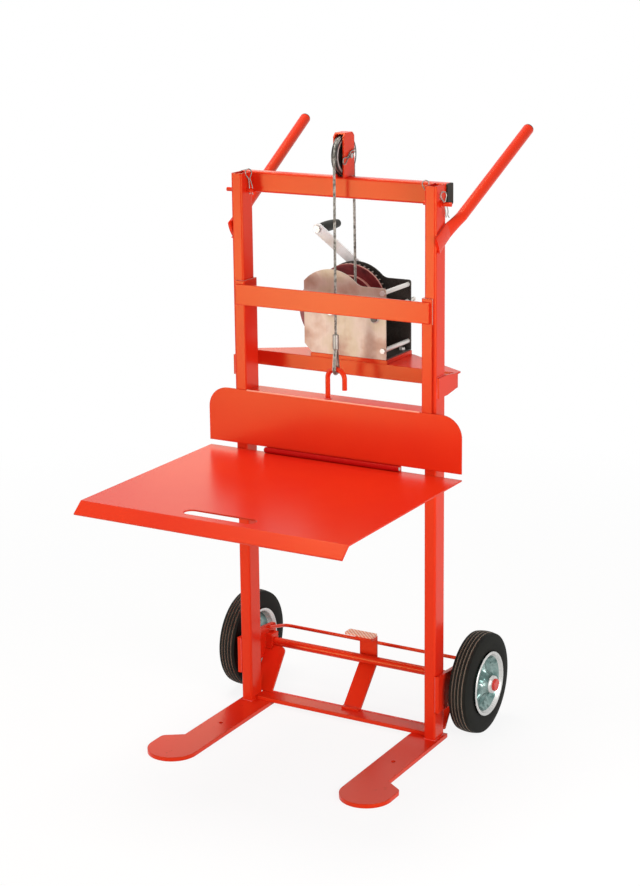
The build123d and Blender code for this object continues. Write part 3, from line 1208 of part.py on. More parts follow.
# Wheels: solid rubber tyre with tread grooves, on a pressed steel centre.
tread_half = TREAD_WIDTH / 2
for side, sign in SIDES:
    with BuildPart() as tyre:
        with BuildSketch(Plane.XY):
            with BuildLine():
                shoulder_in = (-tread_half, WHEEL_RADIUS - SIDEWALL_BULGE)
                bead_in = (-tread_half - SIDEWALL_BULGE / 2, RIM_RADIUS)
                mid_in = (-tread_half - SIDEWALL_BULGE, (WHEEL_RADIUS + RIM_RADIUS) / 2)
                shoulder_out = (tread_half, shoulder_in[1])
                bead_out = (-bead_in[0], RIM_RADIUS)
                mid_out = (-mid_in[0], mid_in[1])
                Line(bead_out, bead_in)
                ThreePointArc(bead_in, mid_in, shoulder_in)
                ThreePointArc(shoulder_in, (0, WHEEL_RADIUS), shoulder_out)
                ThreePointArc(shoulder_out, mid_out, bead_out)
            make_face()
            groove_pitch = TREAD_WIDTH / (TREAD_GROOVES + 1)
            with Locations((0, WHEEL_RADIUS)):
                with GridLocations(groove_pitch, 0, TREAD_GROOVES, 1):
                    Rectangle(GROOVE_WIDTH, 2 * (GROOVE_DEPTH + SIDEWALL_BULGE / 2), mode=Mode.SUBTRACT)
        revolve(axis=Axis.X)
    tyre.part.position = (sign * WHEEL_X, AXLE_Y, AXLE_Z)
    save(tyre, f"tyre_{side}")

    with BuildPart() as rim:
        with BuildSketch(Plane.XY):
            rim_half = tread_half + SIDEWALL_BULGE + RIM_LIP / 2
            rim_inner = RIM_RADIUS - RIM_LIP
            hub_outer = HUB_DIA / 2
            dish_out = WHEEL_DISH + RIM_SHEET
            with BuildLine():
                Polyline(
                    (-rim_half, RIM_RADIUS),
                    (rim_half, RIM_RADIUS),
                    (rim_half, rim_inner),
                    (dish_out, rim_inner),
                    (dish_out, hub_outer),
                    (HUB_LENGTH / 2, hub_outer),
                    (HUB_LENGTH / 2, AXLE_DIA / 2 + HUB_LINER),
                    (-HUB_LENGTH / 2, AXLE_DIA / 2 + HUB_LINER),
                    (-HUB_LENGTH / 2, hub_outer),
                    (WHEEL_DISH, hub_outer),
                    (WHEEL_DISH, rim_inner),
                    (-rim_half, rim_inner),
                    close=True,
                )
            make_face()
        revolve(axis=Axis.X)
    if sign < 0:
        rim_part = mirror(rim.part, about=Plane.YZ)
        rim.part = rim_part
    rim.part.position = (sign * WHEEL_X, AXLE_Y, AXLE_Z)
    save(rim, f"wheel_centre_{side}")

    with BuildPart() as hub_liner:
        with Locations(Plane.YZ.offset(sign * WHEEL_X)):
            with Locations((AXLE_Y, AXLE_Z)):
                Cylinder(AXLE_DIA / 2 + HUB_LINER, HUB_LENGTH)
                Cylinder(AXLE_DIA / 2 + RUNNING_FIT, HUB_LENGTH, mode=Mode.SUBTRACT)
    save(hub_liner, f"hub_bush_{side}")
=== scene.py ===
import math
import bmesh
import bpy
from mathutils import Matrix, Vector


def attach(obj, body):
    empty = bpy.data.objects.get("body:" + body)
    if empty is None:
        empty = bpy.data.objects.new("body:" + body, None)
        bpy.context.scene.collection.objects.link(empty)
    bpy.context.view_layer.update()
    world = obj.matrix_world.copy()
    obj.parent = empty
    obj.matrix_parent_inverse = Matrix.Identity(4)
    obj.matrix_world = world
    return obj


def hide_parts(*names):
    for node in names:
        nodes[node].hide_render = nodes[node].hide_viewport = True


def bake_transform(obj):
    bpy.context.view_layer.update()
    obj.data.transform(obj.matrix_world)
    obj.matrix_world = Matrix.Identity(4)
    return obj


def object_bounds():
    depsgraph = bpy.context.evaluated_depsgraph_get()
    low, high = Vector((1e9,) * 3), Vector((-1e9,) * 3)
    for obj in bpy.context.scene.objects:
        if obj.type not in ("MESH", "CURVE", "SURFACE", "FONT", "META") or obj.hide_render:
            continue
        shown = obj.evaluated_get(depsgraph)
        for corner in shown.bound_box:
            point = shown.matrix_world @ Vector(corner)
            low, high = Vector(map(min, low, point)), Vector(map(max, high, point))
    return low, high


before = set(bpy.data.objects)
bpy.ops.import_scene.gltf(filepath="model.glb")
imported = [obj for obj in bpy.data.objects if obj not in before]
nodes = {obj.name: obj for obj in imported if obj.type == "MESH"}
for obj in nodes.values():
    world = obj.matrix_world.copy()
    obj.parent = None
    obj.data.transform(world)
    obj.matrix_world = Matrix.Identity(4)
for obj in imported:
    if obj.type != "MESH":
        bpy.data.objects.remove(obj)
cad_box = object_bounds()


# Painted frame: mild steel tube and flat bar, welded and sprayed with a thick
# bright red gloss coat that pools slightly and shows faint orange peel.
class Wire:
    """One socket of a finish's nodes; sums on it add Math nodes."""

    def __init__(self, finish, socket):
        self.finish, self.socket = finish, socket

    def sum(self, operation, first, second):
        return self.finish.node("ShaderNodeMath", {"operation": operation}, {0: first, 1: second})

    def __add__(self, other):
        return self.sum("ADD", self, other)

    def __sub__(self, other):
        return self.sum("SUBTRACT", self, other)

    def __rsub__(self, other):
        return self.sum("SUBTRACT", other, self)

    def __mul__(self, other):
        return self.sum("MULTIPLY", self, other)

    def __gt__(self, other):
        return self.sum("GREATER_THAN", self, other)

    def __pow__(self, other):
        return self.sum("POWER", self, other)

    __radd__ = __add__


class Finish:
    """A material with one principled shader and whatever nodes it is given."""

    def __init__(self, name, metallic=0.0, roughness=0.4, coat=0.0):
        self.material = bpy.data.materials.new(name)
        self.material.use_nodes = True
        self.tree = self.material.node_tree
        self.shader = self.tree.nodes["Principled BSDF"]
        self.set("Metallic", metallic)
        self.set("Roughness", roughness)
        self.set("Coat Weight", coat)
        self.place = self.node("ShaderNodeTexCoord", {}, {}, "Object")

    def set(self, name, value):
        if isinstance(value, Wire):
            self.tree.links.new(value.socket, self.shader.inputs[name])
        else:
            self.shader.inputs[name].default_value = value

    def node(self, kind, settings, sockets, output=0):
        made = self.tree.nodes.new(kind)
        for key, value in settings.items():
            if key == "stops":
                for spare in range(len(value) - 2):
                    made.color_ramp.elements.new(0.5)
                for stop, (at, colour) in zip(made.color_ramp.elements, value):
                    stop.position, stop.color = at, (*colour, 1)
            else:
                setattr(made, key, value)
        for key, value in sockets.items():
            if isinstance(value, Wire):
                self.tree.links.new(value.socket, made.inputs[key])
            else:
                made.inputs[key].default_value = value
        return Wire(self, made.outputs[output])

    def noise(self, scale, detail=3.0, place=None):
        sockets = {"Vector": place or self.place, "Scale": scale, "Detail": detail}
        return self.node("ShaderNodeTexNoise", {}, sockets)

    def stretched(self, scale):
        return self.node("ShaderNodeMapping", {}, {"Vector": self.place, "Scale": scale})

    def mix(self, factor, first, second):
        sockets = {0: factor, 6: first, 7: second}
        return self.node("ShaderNodeMix", {"data_type": "RGBA"}, sockets, 2)

    def ramp(self, factor, *stops):
        return self.node("ShaderNodeValToRGB", {"stops": stops}, {0: factor})

    def bump(self, height, strength, distance, edge=0.0):
        sockets = {"Height": height, "Strength": strength, "Distance": distance}
        if edge:
            sockets["Normal"] = self.node("ShaderNodeBevel", {"samples": 4}, {"Radius": edge})
        self.set("Normal", self.node("ShaderNodeBump", {}, sockets))


SHEEN_TINT = (0.80, 1.0, 0.34, 1)
SCUFF_RED = (0.36, 0.07, 0.04, 1)


def painted(name, colour, deep, wear=0.0, sheen=0.26, edge=0.0028):
    """Red gloss paint with a warm sheen, soft at its edges; wear dulls it in small scuffs."""
    finish = Finish(name, roughness=0.26)
    finish.shader.inputs["Specular Tint"].default_value = SHEEN_TINT
    finish.shader.inputs["Specular IOR Level"].default_value = sheen
    cloud = finish.noise(4.0, 4.0)
    speck = finish.noise(300.0, 2.0)
    paint = finish.mix(cloud * 0.6 + speck * 0.15 + 0.08, (*deep, 1), (*colour, 1))
    if wear:
        patch = finish.noise(24.0, 6.0, finish.stretched((1.0, 0.35, 1.0)))
        scuff = patch * finish.noise(160.0, 3.0) > 0.40 - wear
        paint = finish.mix(scuff * 0.4, paint, SCUFF_RED)
        finish.set("Roughness", 0.28 + scuff * 0.2)
    finish.set("Base Color", paint)
    finish.bump(speck * 0.3 + finish.noise(60.0, 2.0), 0.03, 0.0005, edge)
    return finish.material


def wearing(material, *names):
    """Gives CAD nodes one finish."""
    for name in names:
        nodes[name].data.materials.clear()
        nodes[name].data.materials.append(material)


RED = (0.78, 0.040, 0.005)
DEEP_RED = (0.64, 0.008, 0.008)
red_gloss = painted("red_gloss", RED, DEEP_RED)
red_worn = painted("red_worn", RED, DEEP_RED, wear=0.02)
red_tube = painted("red_tube", RED, DEEP_RED, edge=0.0)
wearing(red_gloss, "mast_left", "mast_right", "lower_crossbar", "axle_brackets", "side_struts",
        "centre_strap", "top_crossbar", "pulley_bracket", "shelf_arms", "winch_shelf", "winch_pad")
wearing(red_tube, "handles", "axle", "foot_bar", "locking_pins")
wearing(red_worn, "feet")


# Weld beads: a run of overlapping ripples of filler along each welded joint,
# sprayed over with the same red coat as the bars that it joins. MAST_Y is the
# masts' middle plane, from which places on the truck are measured.
MAST_Y = (cad_box[0].y + cad_box[1].y) / 2 + 0.09755


def made_of(name, mesh, material, body, smooth=True):
    """Turns a finished bmesh into a piece that rides on a body."""
    data = bpy.data.meshes.new(name)
    for face in mesh.faces:
        face.smooth = smooth
    mesh.to_mesh(data)
    mesh.free()
    data.materials.append(material)
    piece = bpy.data.objects.new(name, data)
    bpy.context.scene.collection.objects.link(piece)
    if body:
        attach(piece, body)
    return piece


def rod(name, runs, radius, material, body, smooth=False):
    """Bends round wire through each run's points, given in millimetres about the masts."""
    data = bpy.data.curves.new(name, "CURVE")
    data.dimensions, data.bevel_depth, data.bevel_resolution = "3D", radius, 2
    data.use_fill_caps = True
    for run in runs:
        line = data.splines.new("NURBS" if smooth else "POLY")
        line.points.add(len(run) - 1)
        for point, (x, y, z) in zip(line.points, run):
            point.co = (x / 1000, y / 1000 + MAST_Y, z / 1000, 1)
        if smooth:
            line.order_u, line.use_endpoint_u, line.resolution_u = 3, True, 6
    data.materials.append(material)
    piece = bpy.data.objects.new(name, data)
    bpy.context.scene.collection.objects.link(piece)
    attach(piece, body)
    return piece


def weld_finish():
    finish = Finish("weld_red", roughness=0.35, coat=0.4)
    ripple = finish.node("ShaderNodeTexVoronoi", {}, {"Vector": finish.place, "Scale": 260.0})
    finish.set("Base Color", finish.mix(ripple, (*DEEP_RED, 1), (*RED, 1)))
    finish.bump(ripple, 0.7, 0.001)
    return finish.material


weld_red = weld_finish()
MAST_IN, MAST_OUT, ROOT_OUT = 244, 274, 274.4
beads = []
for side in (-1, 1):
    inner, outer, root = side * MAST_IN, side * MAST_OUT, side * ROOT_OUT
    beads += [
        [(inner, -25, 10), (outer, -25, 10), (outer, 25, 10), (inner, 25, 10), (inner, -25, 10)],  # foot
        [(outer, -20, 861), (outer, -20, 910), (outer, 24, 910)],  # shelf arm, front and top
        [(outer, -20, 861), (outer, 24, 861)],  # shelf arm, bottom
        [(root, -25, 1240), (root, 20, 1264)],  # handle's root, top
        [(root, -24, 1199), (root, 22, 1223)],  # handle's root, bottom
        [(outer, -24, 84), (outer, -24, 174)],  # axle bracket
        [(side * 208, 34, 20), (side * 250, 34, 20)],  # lower crossbar's end
        [(side * 12, 16, 1355), (side * 12, 54, 1355)],  # pulley's bracket
    ]
beads += [[(-10, 26, 20), (36, 26, 20)], [(-230, 37, 20), (230, 37, 20)]]  # centre strap, lower crossbar
rod("frame_welds", beads, 0.0018, weld_red, "frame")
carriage_beads = [[(side * 240, -31, 1040), (side * 240, -31, 1086)] for side in (-1, 1)]
carriage_beads += [[(side * 261, -31, 1038), (side * 243, -31, 1038)] for side in (-1, 1)]
HOOK_X, HOOK_Y, HOOK_ROUND = -23, -7, 7
hook_ring = []
for hour in range(13):
    turn = hour * math.pi / 6
    hook_ring.append((HOOK_X + HOOK_ROUND * math.cos(turn), HOOK_Y + HOOK_ROUND * math.sin(turn), 825))
carriage_beads += [hook_ring]
rod("carriage_welds", carriage_beads, 0.0016, weld_red, "carriage")


# Back plate's top edge: a thin rod along the cross member, coloured pale as a painted highlight on the
# plate's top edge, so it shows as a pale line between the masts.
edge_highlight_paint = painted("edge_highlight_coat", (0.95, 0.46, 0.34), (0.90, 0.30, 0.22))
rod("plate_edge_highlight", [[(-236, -32.5, 826.5), (236, -32.5, 826.5)]], 0.0019, edge_highlight_paint, "carriage")


# Carriage and platform: folded sheet and flat bar in the same red. The hinge's tubes lie in the fold;
# their darker, duller red is painted shade.
wearing(red_gloss, "carriage_channels", "middle_bar", "back_plate", "cross_member",
        "stop_plate", "platform_ribs", "platform")
wearing(red_tube, "lifting_hook")
# Darker red with little sheen on the hinge's tubes: painted shade.
hinge_shade_red = painted("hinge_shade_red", (0.55, 0.006, 0.006), (0.38, 0.003, 0.006), sheen=0.05, edge=0.0)
wearing(hinge_shade_red, "middle_knuckle", "end_knuckles")


# Plastic: moulded black caps, plugs and grip with a fine leather-like surface,
# red caps pushed on the axle's ends, and pale nylon guide pads and bushes.
def moulded(name, colour, roughness, grain, sheen=0.5):
    finish = Finish(name, roughness=roughness)
    finish.shader.inputs["Specular IOR Level"].default_value = sheen
    pattern = finish.noise(grain, 3.0)
    dark = tuple(part * 0.6 for part in colour)
    finish.set("Base Color", finish.mix(pattern, (*dark, 1), (*colour, 1)))
    finish.set("Roughness", roughness + pattern * 0.15)
    finish.bump(pattern, 0.25, 0.0005)
    return finish.material


black_plastic = moulded("black_plastic", (0.018, 0.019, 0.014), 0.38, 700.0, sheen=0.16)
nylon = moulded("nylon", (0.72, 0.70, 0.63), 0.45, 300.0)
red_cap = moulded("red_cap", (0.72, 0.035, 0.02), 0.25, 200.0)
wearing(black_plastic, "crossbar_caps", "crank_grip", "handle_plugs")
wearing(nylon, "guide_pads", "hub_bush_left", "hub_bush_right")
wearing(red_cap, "axle_caps")


# Plated steel: turned and pressed parts with bright zinc, yellow zinc on the
# winch's front plate, which runs from straw to rose, and dark oiled steel.
OIL = (0.35, 0.33, 0.31, 1)


def plated(name, stops, roughness, brushed=(1.0, 1.0, 1.0), metallic=0.85, scale=14.0):
    finish = Finish(name, metallic=metallic, roughness=roughness)
    streak = finish.noise(300.0, 2.0, finish.stretched(brushed))
    bloom = finish.noise(scale, 4.0)
    finish.set("Base Color", finish.mix(streak * 0.3, finish.ramp(bloom, *stops), OIL))
    finish.set("Roughness", roughness + streak * 0.14)
    finish.bump(streak, 0.12, 0.0003)
    return finish.material


BRIGHT = ((0.3, (0.42, 0.42, 0.40)), (0.7, (0.62, 0.61, 0.58)))
# TIE is the bright zinc made lighter, painted light for the tie bars, which sit in shade between the
# winch's plates.
TIE = ((0.3, (0.66, 0.66, 0.63)), (0.7, (0.86, 0.85, 0.81)))
CRANK = ((0.3, (0.68, 0.70, 0.70)), (0.5, (0.86, 0.88, 0.90)), (0.7, (0.74, 0.70, 0.62)))
YELLOW = ((0.30, (0.36, 0.19, 0.12)), (0.42, (0.50, 0.35, 0.26)), (0.52, (0.60, 0.50, 0.41)),
          (0.62, (0.54, 0.46, 0.32)), (0.75, (0.38, 0.22, 0.15)))
GEAR = ((0.3, (0.10, 0.07, 0.055)), (0.7, (0.30, 0.22, 0.18)))
DARK = ((0.3, (0.022, 0.018, 0.015)), (0.7, (0.06, 0.05, 0.042)))
FERRULE = ((0.3, (0.16, 0.15, 0.13)), (0.7, (0.40, 0.38, 0.34)))
bright_zinc = plated("bright_zinc", BRIGHT, 0.28, (1.0, 1.0, 0.2))
lightened_tie_zinc = plated("lightened_tie_zinc", TIE, 0.34, (1.0, 0.1, 1.0), metallic=0.35)
crank_zinc = plated("crank_zinc", CRANK, 0.42, metallic=0.25)
yellow_zinc = plated("yellow_zinc", YELLOW, 0.38, (1.0, 1.0, 0.06), metallic=0.3, scale=13.0)
gear_steel = plated("gear_steel", GEAR, 0.42, metallic=0.6)
dark_steel = plated("dark_steel", DARK, 0.4)
ferrule_metal = plated("ferrule_metal", FERRULE, 0.3, (1.0, 1.0, 0.1))
wearing(lightened_tie_zinc, "winch_ties", "mounting_bolts")
wearing(bright_zinc, "pulley_pin", "drum_axle", "hinge_pin", "crank_nut",
        "grip_spindle")
wearing(ferrule_metal, "rope_thimble", "rope_ferrule")
wearing(yellow_zinc, "winch_front_plate")
wearing(crank_zinc, "crank_arm")
wearing(gear_steel, "drum_gear")
wearing(dark_steel, "pinion_shaft", "brake_hub", "winch_rear_plate", "winch_base")


# Pulley: a turned steel wheel, dark in its recess and groove; the bright rings on its raised rim and hub,
# which run about the pin, are painted highlights.
PULLEY = Vector((0, 0.040 + MAST_Y, 1.4043))


def pulley_highlight_finish():
    finish = Finish("pulley_steel_highlights", metallic=0.6, roughness=0.3)
    y, z = (finish.node("ShaderNodeSeparateXYZ", {}, {0: finish.place}, axis) for axis in (1, 2))
    y, z = y - PULLEY.y, z - PULLEY.z
    reach = (y * y + z * z) ** 0.5 * 20.0 + finish.noise(120.0) * 0.04
    dark, highlight = (0.035, 0.03, 0.027), (0.74, 0.72, 0.70)
    # The bright stops in these rings are painted highlights on the rim and hub.
    highlight_rings = (0.24, highlight), (0.30, dark), (0.68, dark), (0.74, highlight), (0.86, highlight), (0.92, dark)
    finish.set("Base Color", finish.ramp(reach, *highlight_rings))
    finish.bump(finish.noise(200.0), 0.1, 0.0003)
    return finish.material


wearing(pulley_highlight_finish(), "pulley")


# Drum: a steel spool that was turned and then dipped in a thin crimson primer,
# which is cloudy where the metal shows through it.
def drum_finish():
    finish = Finish("drum_crimson", metallic=0.25, roughness=0.38)
    cloud = finish.noise(60.0, 3.0)
    finish.set("Base Color", finish.ramp(cloud, (0.3, (0.11, 0.010, 0.014)), (0.7, (0.25, 0.030, 0.034))))
    finish.bump(cloud, 0.15, 0.0004)
    return finish.material


wearing(drum_finish(), "drum")


# Tread plate: rolled steel with raised bars on it, bolted flat on the centre
# strap, its red worn to pale metal by shoes.
def tread_finish():
    finish = Finish("tread_steel", metallic=0.35, roughness=0.5)
    sockets = {"Vector": finish.place, "Scale": 60.0, "Distortion": 0.4}
    bars = finish.node("ShaderNodeTexWave", {"bands_direction": "DIAGONAL"}, sockets)
    finish.set("Base Color", finish.mix(bars, (0.72, 0.20, 0.11, 1), (0.86, 0.66, 0.50, 1)))
    finish.bump(bars, 0.5, 0.001)
    return finish.material


wearing(tread_finish(), "tread_plate")


# Tyres: black moulded rubber, vulcanised on the wheel, with four round grooves coloured pale tan and a
# matt sidewall. Three folds of X about the tyre's middle lay all four grooves on one another.
WHEEL_X = 0.326
GROOVE_FOLDS, GROOVE_HALF = (0.0, WHEEL_X, 0.0088, 0.0044), 0.0013


def rubber_finish():
    finish = Finish("tyre_rubber", roughness=0.62)
    finish.shader.inputs["Specular IOR Level"].default_value = 0.15
    dust = finish.noise(30.0, 5.0)
    grain = finish.noise(900.0, 2.0)
    gap = finish.node("ShaderNodeSeparateXYZ", {}, {0: finish.place}, 0)
    for fold in GROOVE_FOLDS:
        gap = finish.node("ShaderNodeMath", {"operation": "ABSOLUTE"}, {0: gap - fold})
    groove = GROOVE_HALF - gap > 0.0
    rubber = finish.ramp(dust, (0.35, (0.004, 0.004, 0.003)), (0.75, (0.011, 0.011, 0.008)))
    finish.set("Base Color", finish.mix(groove * 0.8, rubber, (0.42, 0.34, 0.27, 1)))
    finish.set("Roughness", 0.62 + dust * 0.2)
    finish.bump(grain, 0.3, 0.0006)
    return finish.material


wearing(rubber_finish(), "tyre_left", "tyre_right")


# Wheel centres: a disc pressed from sheet steel with a rolled bright lip, a deep
# dish, eight drawn ribs round the hub, and blue-green zinc plating. Profiles are
# millimetres outward from the wheel's middle plane and from its axle.
BLUE = ((0.30, (0.02, 0.07, 0.06)), (0.45, (0.07, 0.17, 0.16)), (0.6, (0.26, 0.38, 0.36)),
        (0.7, (0.05, 0.12, 0.11)))
LIP = ((0.3, (0.50, 0.51, 0.50)), (0.7, (0.74, 0.74, 0.72)))
blue_zinc = plated("blue_zinc", BLUE, 0.16, metallic=0.7, scale=34.0)
lip_zinc = plated("lip_zinc", LIP, 0.22, metallic=0.6)
DISH_PROFILE = ((28.5, 79.0), (30.5, 78.0), (31.0, 75.0), (29.5, 72.0), (26.0, 71.0), (24.5, 68.5),
                (23.0, 67.8), (20.0, 64.0), (12.0, 60.5), (8.0, 56.0), (8.0, 46.0), (12.0, 36.0),
                (19.0, 28.0), (27.0, 23.5), (35.0, 21.5), (41.0, 21.0), (41.0, 14.2))
BACK_PROFILE = ((-28.5, 79.0), (-30.0, 77.0), (-29.0, 73.0), (-22.0, 70.0), (-10.0, 66.0), (-2.0, 60.0),
                (2.0, 50.0), (2.0, 40.0), (-4.0, 30.0), (-18.0, 24.0), (-41.0, 21.0), (-41.0, 14.2))
AXLE_Y, AXLE_Z = 0.110 + MAST_Y, 0.125
FINE_STEPS = 96
RIB_COUNT, RIB_START, RIB_LENGTH = 8, 0.024, 0.036
HUB_EDGE, LIP_START = 0.0215, 0.0675


def pressed_disc(name, profile, side, body, ribs):
    """Spins one half of a wheel centre and draws its ribs in or out."""
    shape = bmesh.new()
    ring = [shape.verts.new((side * (WHEEL_X + x / 1000), AXLE_Y, AXLE_Z + r / 1000)) for x, r in profile]
    edges = [shape.edges.new(pair) for pair in zip(ring, ring[1:])]
    bmesh.ops.spin(shape, geom=ring + edges, cent=(0, AXLE_Y, AXLE_Z), axis=(1, 0, 0), angle=math.tau,
                   steps=FINE_STEPS, use_merge=True)
    for vert in shape.verts:
        y, z = vert.co.y - AXLE_Y, vert.co.z - AXLE_Z
        along = (math.hypot(y, z) - RIB_START) / RIB_LENGTH
        if 0 < along < 1:
            crest = max(0.0, math.cos(RIB_COUNT * math.atan2(z, y)))
            vert.co.x += side * ribs * math.sin(along * math.pi) * crest
    bmesh.ops.recalc_face_normals(shape, faces=shape.faces)
    piece = made_of(name, shape, blue_zinc, body)
    piece.data.materials.append(lip_zinc)
    for face in piece.data.polygons:
        reach = math.hypot(face.center.y - AXLE_Y, face.center.z - AXLE_Z)
        face.material_index = int(reach > LIP_START or reach < HUB_EDGE)
    return piece


def crosswise(x, y, z):
    """Stands a cone or disc on the X axis at one place."""
    return Matrix.Translation((x, y, z)) @ Matrix.Rotation(math.pi / 2, 4, "Y")


def soften(shape, offset):
    """Rounds every edge of a small turned or forged part."""
    bmesh.ops.bevel(shape, geom=shape.edges[:], offset=offset, segments=2, profile=0.5, affect="EDGES",
                    material=-1)


for side, body in ((-1, "wheel_left"), (1, "wheel_right")):
    front = pressed_disc(f"{body}_pressed_front", DISH_PROFILE, side, body, 0.009)
    back = pressed_disc(f"{body}_pressed_back", BACK_PROFILE, side, body, 0.0)
    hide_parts("wheel_centre_left" if side < 0 else "wheel_centre_right")
    rivet = bmesh.new()
    bmesh.ops.create_cone(rivet, cap_ends=True, segments=6, radius1=0.0055, radius2=0.0055, depth=0.008,
                          matrix=crosswise(side * 0.339, AXLE_Y - 0.045, AXLE_Z - 0.040))
    soften(rivet, 0.0008)
    made_of(f"{body}_rivet", rivet, bright_zinc, body)


# Axle washers: one plated steel washer a side, stamped from sheet. It lies loose
# on the axle, between the wheel's hub and the cap that is pushed on the end.
for side in (-1, 1):
    washer = bmesh.new()
    bmesh.ops.create_cone(washer, cap_ends=True, segments=48, radius1=0.0205, radius2=0.0205, depth=0.0022,
                          matrix=crosswise(side * 0.3675, AXLE_Y, AXLE_Z))
    soften(washer, 0.0006)
    made_of(f"axle_washer_{'left' if side < 0 else 'right'}", washer, lip_zinc, "frame")


# Rope: galvanised wire rope of six strands laid round a core. It is closed in
# an eye round the hook, runs over the pulley and down, and is wound on the drum.
def rope_finish():
    finish = Finish("wire_rope", metallic=0.7, roughness=0.42)
    grime = finish.noise(140.0, 4.0)
    wires = finish.noise(1400.0, 2.0)
    finish.set("Base Color", finish.ramp(grime, (0.35, (0.13, 0.12, 0.10)), (0.65, (0.46, 0.45, 0.41))))
    finish.bump(wires, 0.5, 0.0004)
    return finish.material


wire_rope = rope_finish()
ROPE, STRAND, LAY = 0.0034, 0.00104, 0.048
CORE = ROPE - 1.9 * STRAND
STEPS_A_LAY = 12


def laid_rope(name, length, along, body):
    """Lays six strands straight, then sends each point to its place along the route."""
    shape = bmesh.new()
    steps = round(length / LAY * STEPS_A_LAY)
    made = bmesh.ops.create_circle(shape, cap_ends=False, segments=6, radius=STRAND,
                                   matrix=Matrix.Translation((ROPE - STRAND, 0, 0)))
    edges = list({edge for vert in made["verts"] for edge in vert.link_edges})
    bmesh.ops.spin(shape, geom=made["verts"] + edges, cent=(0, 0, 0), axis=(0, 0, 1),
                   angle=math.tau * length / LAY, dvec=(0, 0, length / steps), steps=steps)
    first = shape.verts[:] + shape.edges[:] + shape.faces[:]
    for strand in range(1, 6):
        copy = bmesh.ops.duplicate(shape, geom=first)
        verts = [item for item in copy["geom"] if isinstance(item, bmesh.types.BMVert)]
        turned = Matrix.Rotation(strand * math.tau / 6, 3, "Z")
        bmesh.ops.rotate(shape, verts=verts, cent=(0, 0, 0), matrix=turned)
    strand_faces = len(shape.faces)
    core = bmesh.ops.create_cone(shape, segments=6, radius1=CORE, radius2=CORE, depth=length,
                                 matrix=Matrix.Translation((0, 0, length / 2)))
    ribs = [edge for vert in core["verts"] for edge in vert.link_edges if edge.calc_length() > length / 2]
    bmesh.ops.subdivide_edges(shape, edges=list(set(ribs)), cuts=steps // 2)
    for vert in shape.verts:
        vert.co = along(vert.co.copy())
    bmesh.ops.recalc_face_normals(shape, faces=shape.faces)
    piece = made_of(name, shape, wire_rope, body)
    piece.data.materials.append(dark_steel)
    for face in piece.data.polygons:
        face.material_index = int(face.index >= strand_faces)
    return piece


# The rope's radii on the pulley and the drum are PITCH and COIL, it leans by
# DRIFT on its way down to the drum, and it bends round the hook below EYE.
PITCH = 0.047
FERRULE_TOP = 0.984
DRUM = Vector((-0.060, 0, 1.021))
DRUM_TANGENT_Z = 1.030
COIL, TURNS = 0.063, 5
DRIFT = 0.008
EYE = Vector((0, PULLEY.y - PITCH, 0.899))
EYE_RUN, EYE_BOW, EYE_NECK = 0.048, 0.0115, 0.0030


def over_pulley(point):
    """Half round the pulley from its front tangent, then straight down to the drum."""
    arc = math.pi * PITCH
    if point.z < arc:
        turn = point.z / PITCH
        reach = PITCH + point.y
        return PULLEY + Vector((point.x, -reach * math.cos(turn), reach * math.sin(turn)))
    return PULLEY + Vector((point.x + (point.z - arc) * DRIFT, PITCH + point.y, arc - point.z))


def round_drum(point):
    """Close turns round the drum, one rope's width apart."""
    turn = point.z / COIL
    reach = COIL + point.x
    forward = PULLEY.y + PITCH + point.y + 2 * ROPE * point.z / (math.tau * COIL)
    return Vector((DRUM.x + reach * math.cos(turn), forward, DRUM.z - reach * math.sin(turn)))


def round_hook(point):
    """Down one side of the thimble, round its bottom and up the other side."""
    taper = EYE_BOW - EYE_NECK
    bottom = math.pi * EYE_BOW
    if point.z < EYE_RUN:
        lean = 1 - point.z / EYE_RUN
        return EYE + Vector((point.x, -EYE_BOW + taper * lean - point.y, EYE_RUN - point.z))
    if point.z < EYE_RUN + bottom:
        turn = (point.z - EYE_RUN) / EYE_BOW
        reach = EYE_BOW + point.y
        return EYE + Vector((point.x, -reach * math.cos(turn), -reach * math.sin(turn)))
    up = point.z - EYE_RUN - bottom
    return EYE + Vector((point.x, EYE_BOW - taper * up / EYE_RUN + point.y, up))


front = laid_rope("rope_front", PULLEY.z - FERRULE_TOP,
                  lambda p: Vector((p.x, PULLEY.y - PITCH + p.y, FERRULE_TOP + p.z)), None)
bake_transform(front)
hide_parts("rope_front_strand")
back = laid_rope("rope_back", math.pi * PITCH + PULLEY.z - DRUM_TANGENT_Z, over_pulley, "frame")
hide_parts("rope_back_strand")
wound = laid_rope("rope_wound", TURNS * math.tau * COIL, round_drum, "drum")
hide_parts("rope_winding")
laid_rope("rope_eye", 2 * EYE_RUN + math.pi * EYE_BOW, round_hook, "carriage")


# Clips: hairpins bent from spring wire; the straight leg goes through the pin,
# the head is a round loop and the waved leg snaps round the pin.
def hairpin(x, y, z, pin, slide, tilt, turn):
    """Points of one clip, slid through its pin's hole, leaning by tilt, then turned about the upright."""
    straight_leg = ((-30, 0), (-18, 0), (0, 0))
    head = ((8, -1), (13, -5), (20, -8), (27, -7), (31, 0), (27, 7), (20, 8), (13, 5), (6, 2))
    waved_leg = ((-3, 5), (-9, pin + 1.2), (-15, pin + 2.2), (-21, pin + 1.2), (-26, 4), (-32, 8))
    c, s = math.cos(tilt), math.sin(tilt)
    points = []
    for u, v in straight_leg + head + waved_leg:
        side, up = v * c - (u + slide) * s, (u + slide) * c + v * s
        points.append((x + side * math.sin(turn), y + side * math.cos(turn), z + up))
    return points


clips = [hairpin(-237, 0, 1312, 5.0, 22, 0.05, 0.9), hairpin(237, 0, 1312, 5.0, 22, 0.05, 0.9),
         hairpin(283, 0, 1312, 5.0, -1, 0.15, 0.5), hairpin(-18, 40, 1404, 6.0, 2, 2.8, 0.2),
         hairpin(18, 40, 1404, 6.0, 8, 1.9, 0.0)]
spring_clips = rod("spring_clips", clips, 0.0013, ferrule_metal, "frame", smooth=True)
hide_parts("retaining_clips")
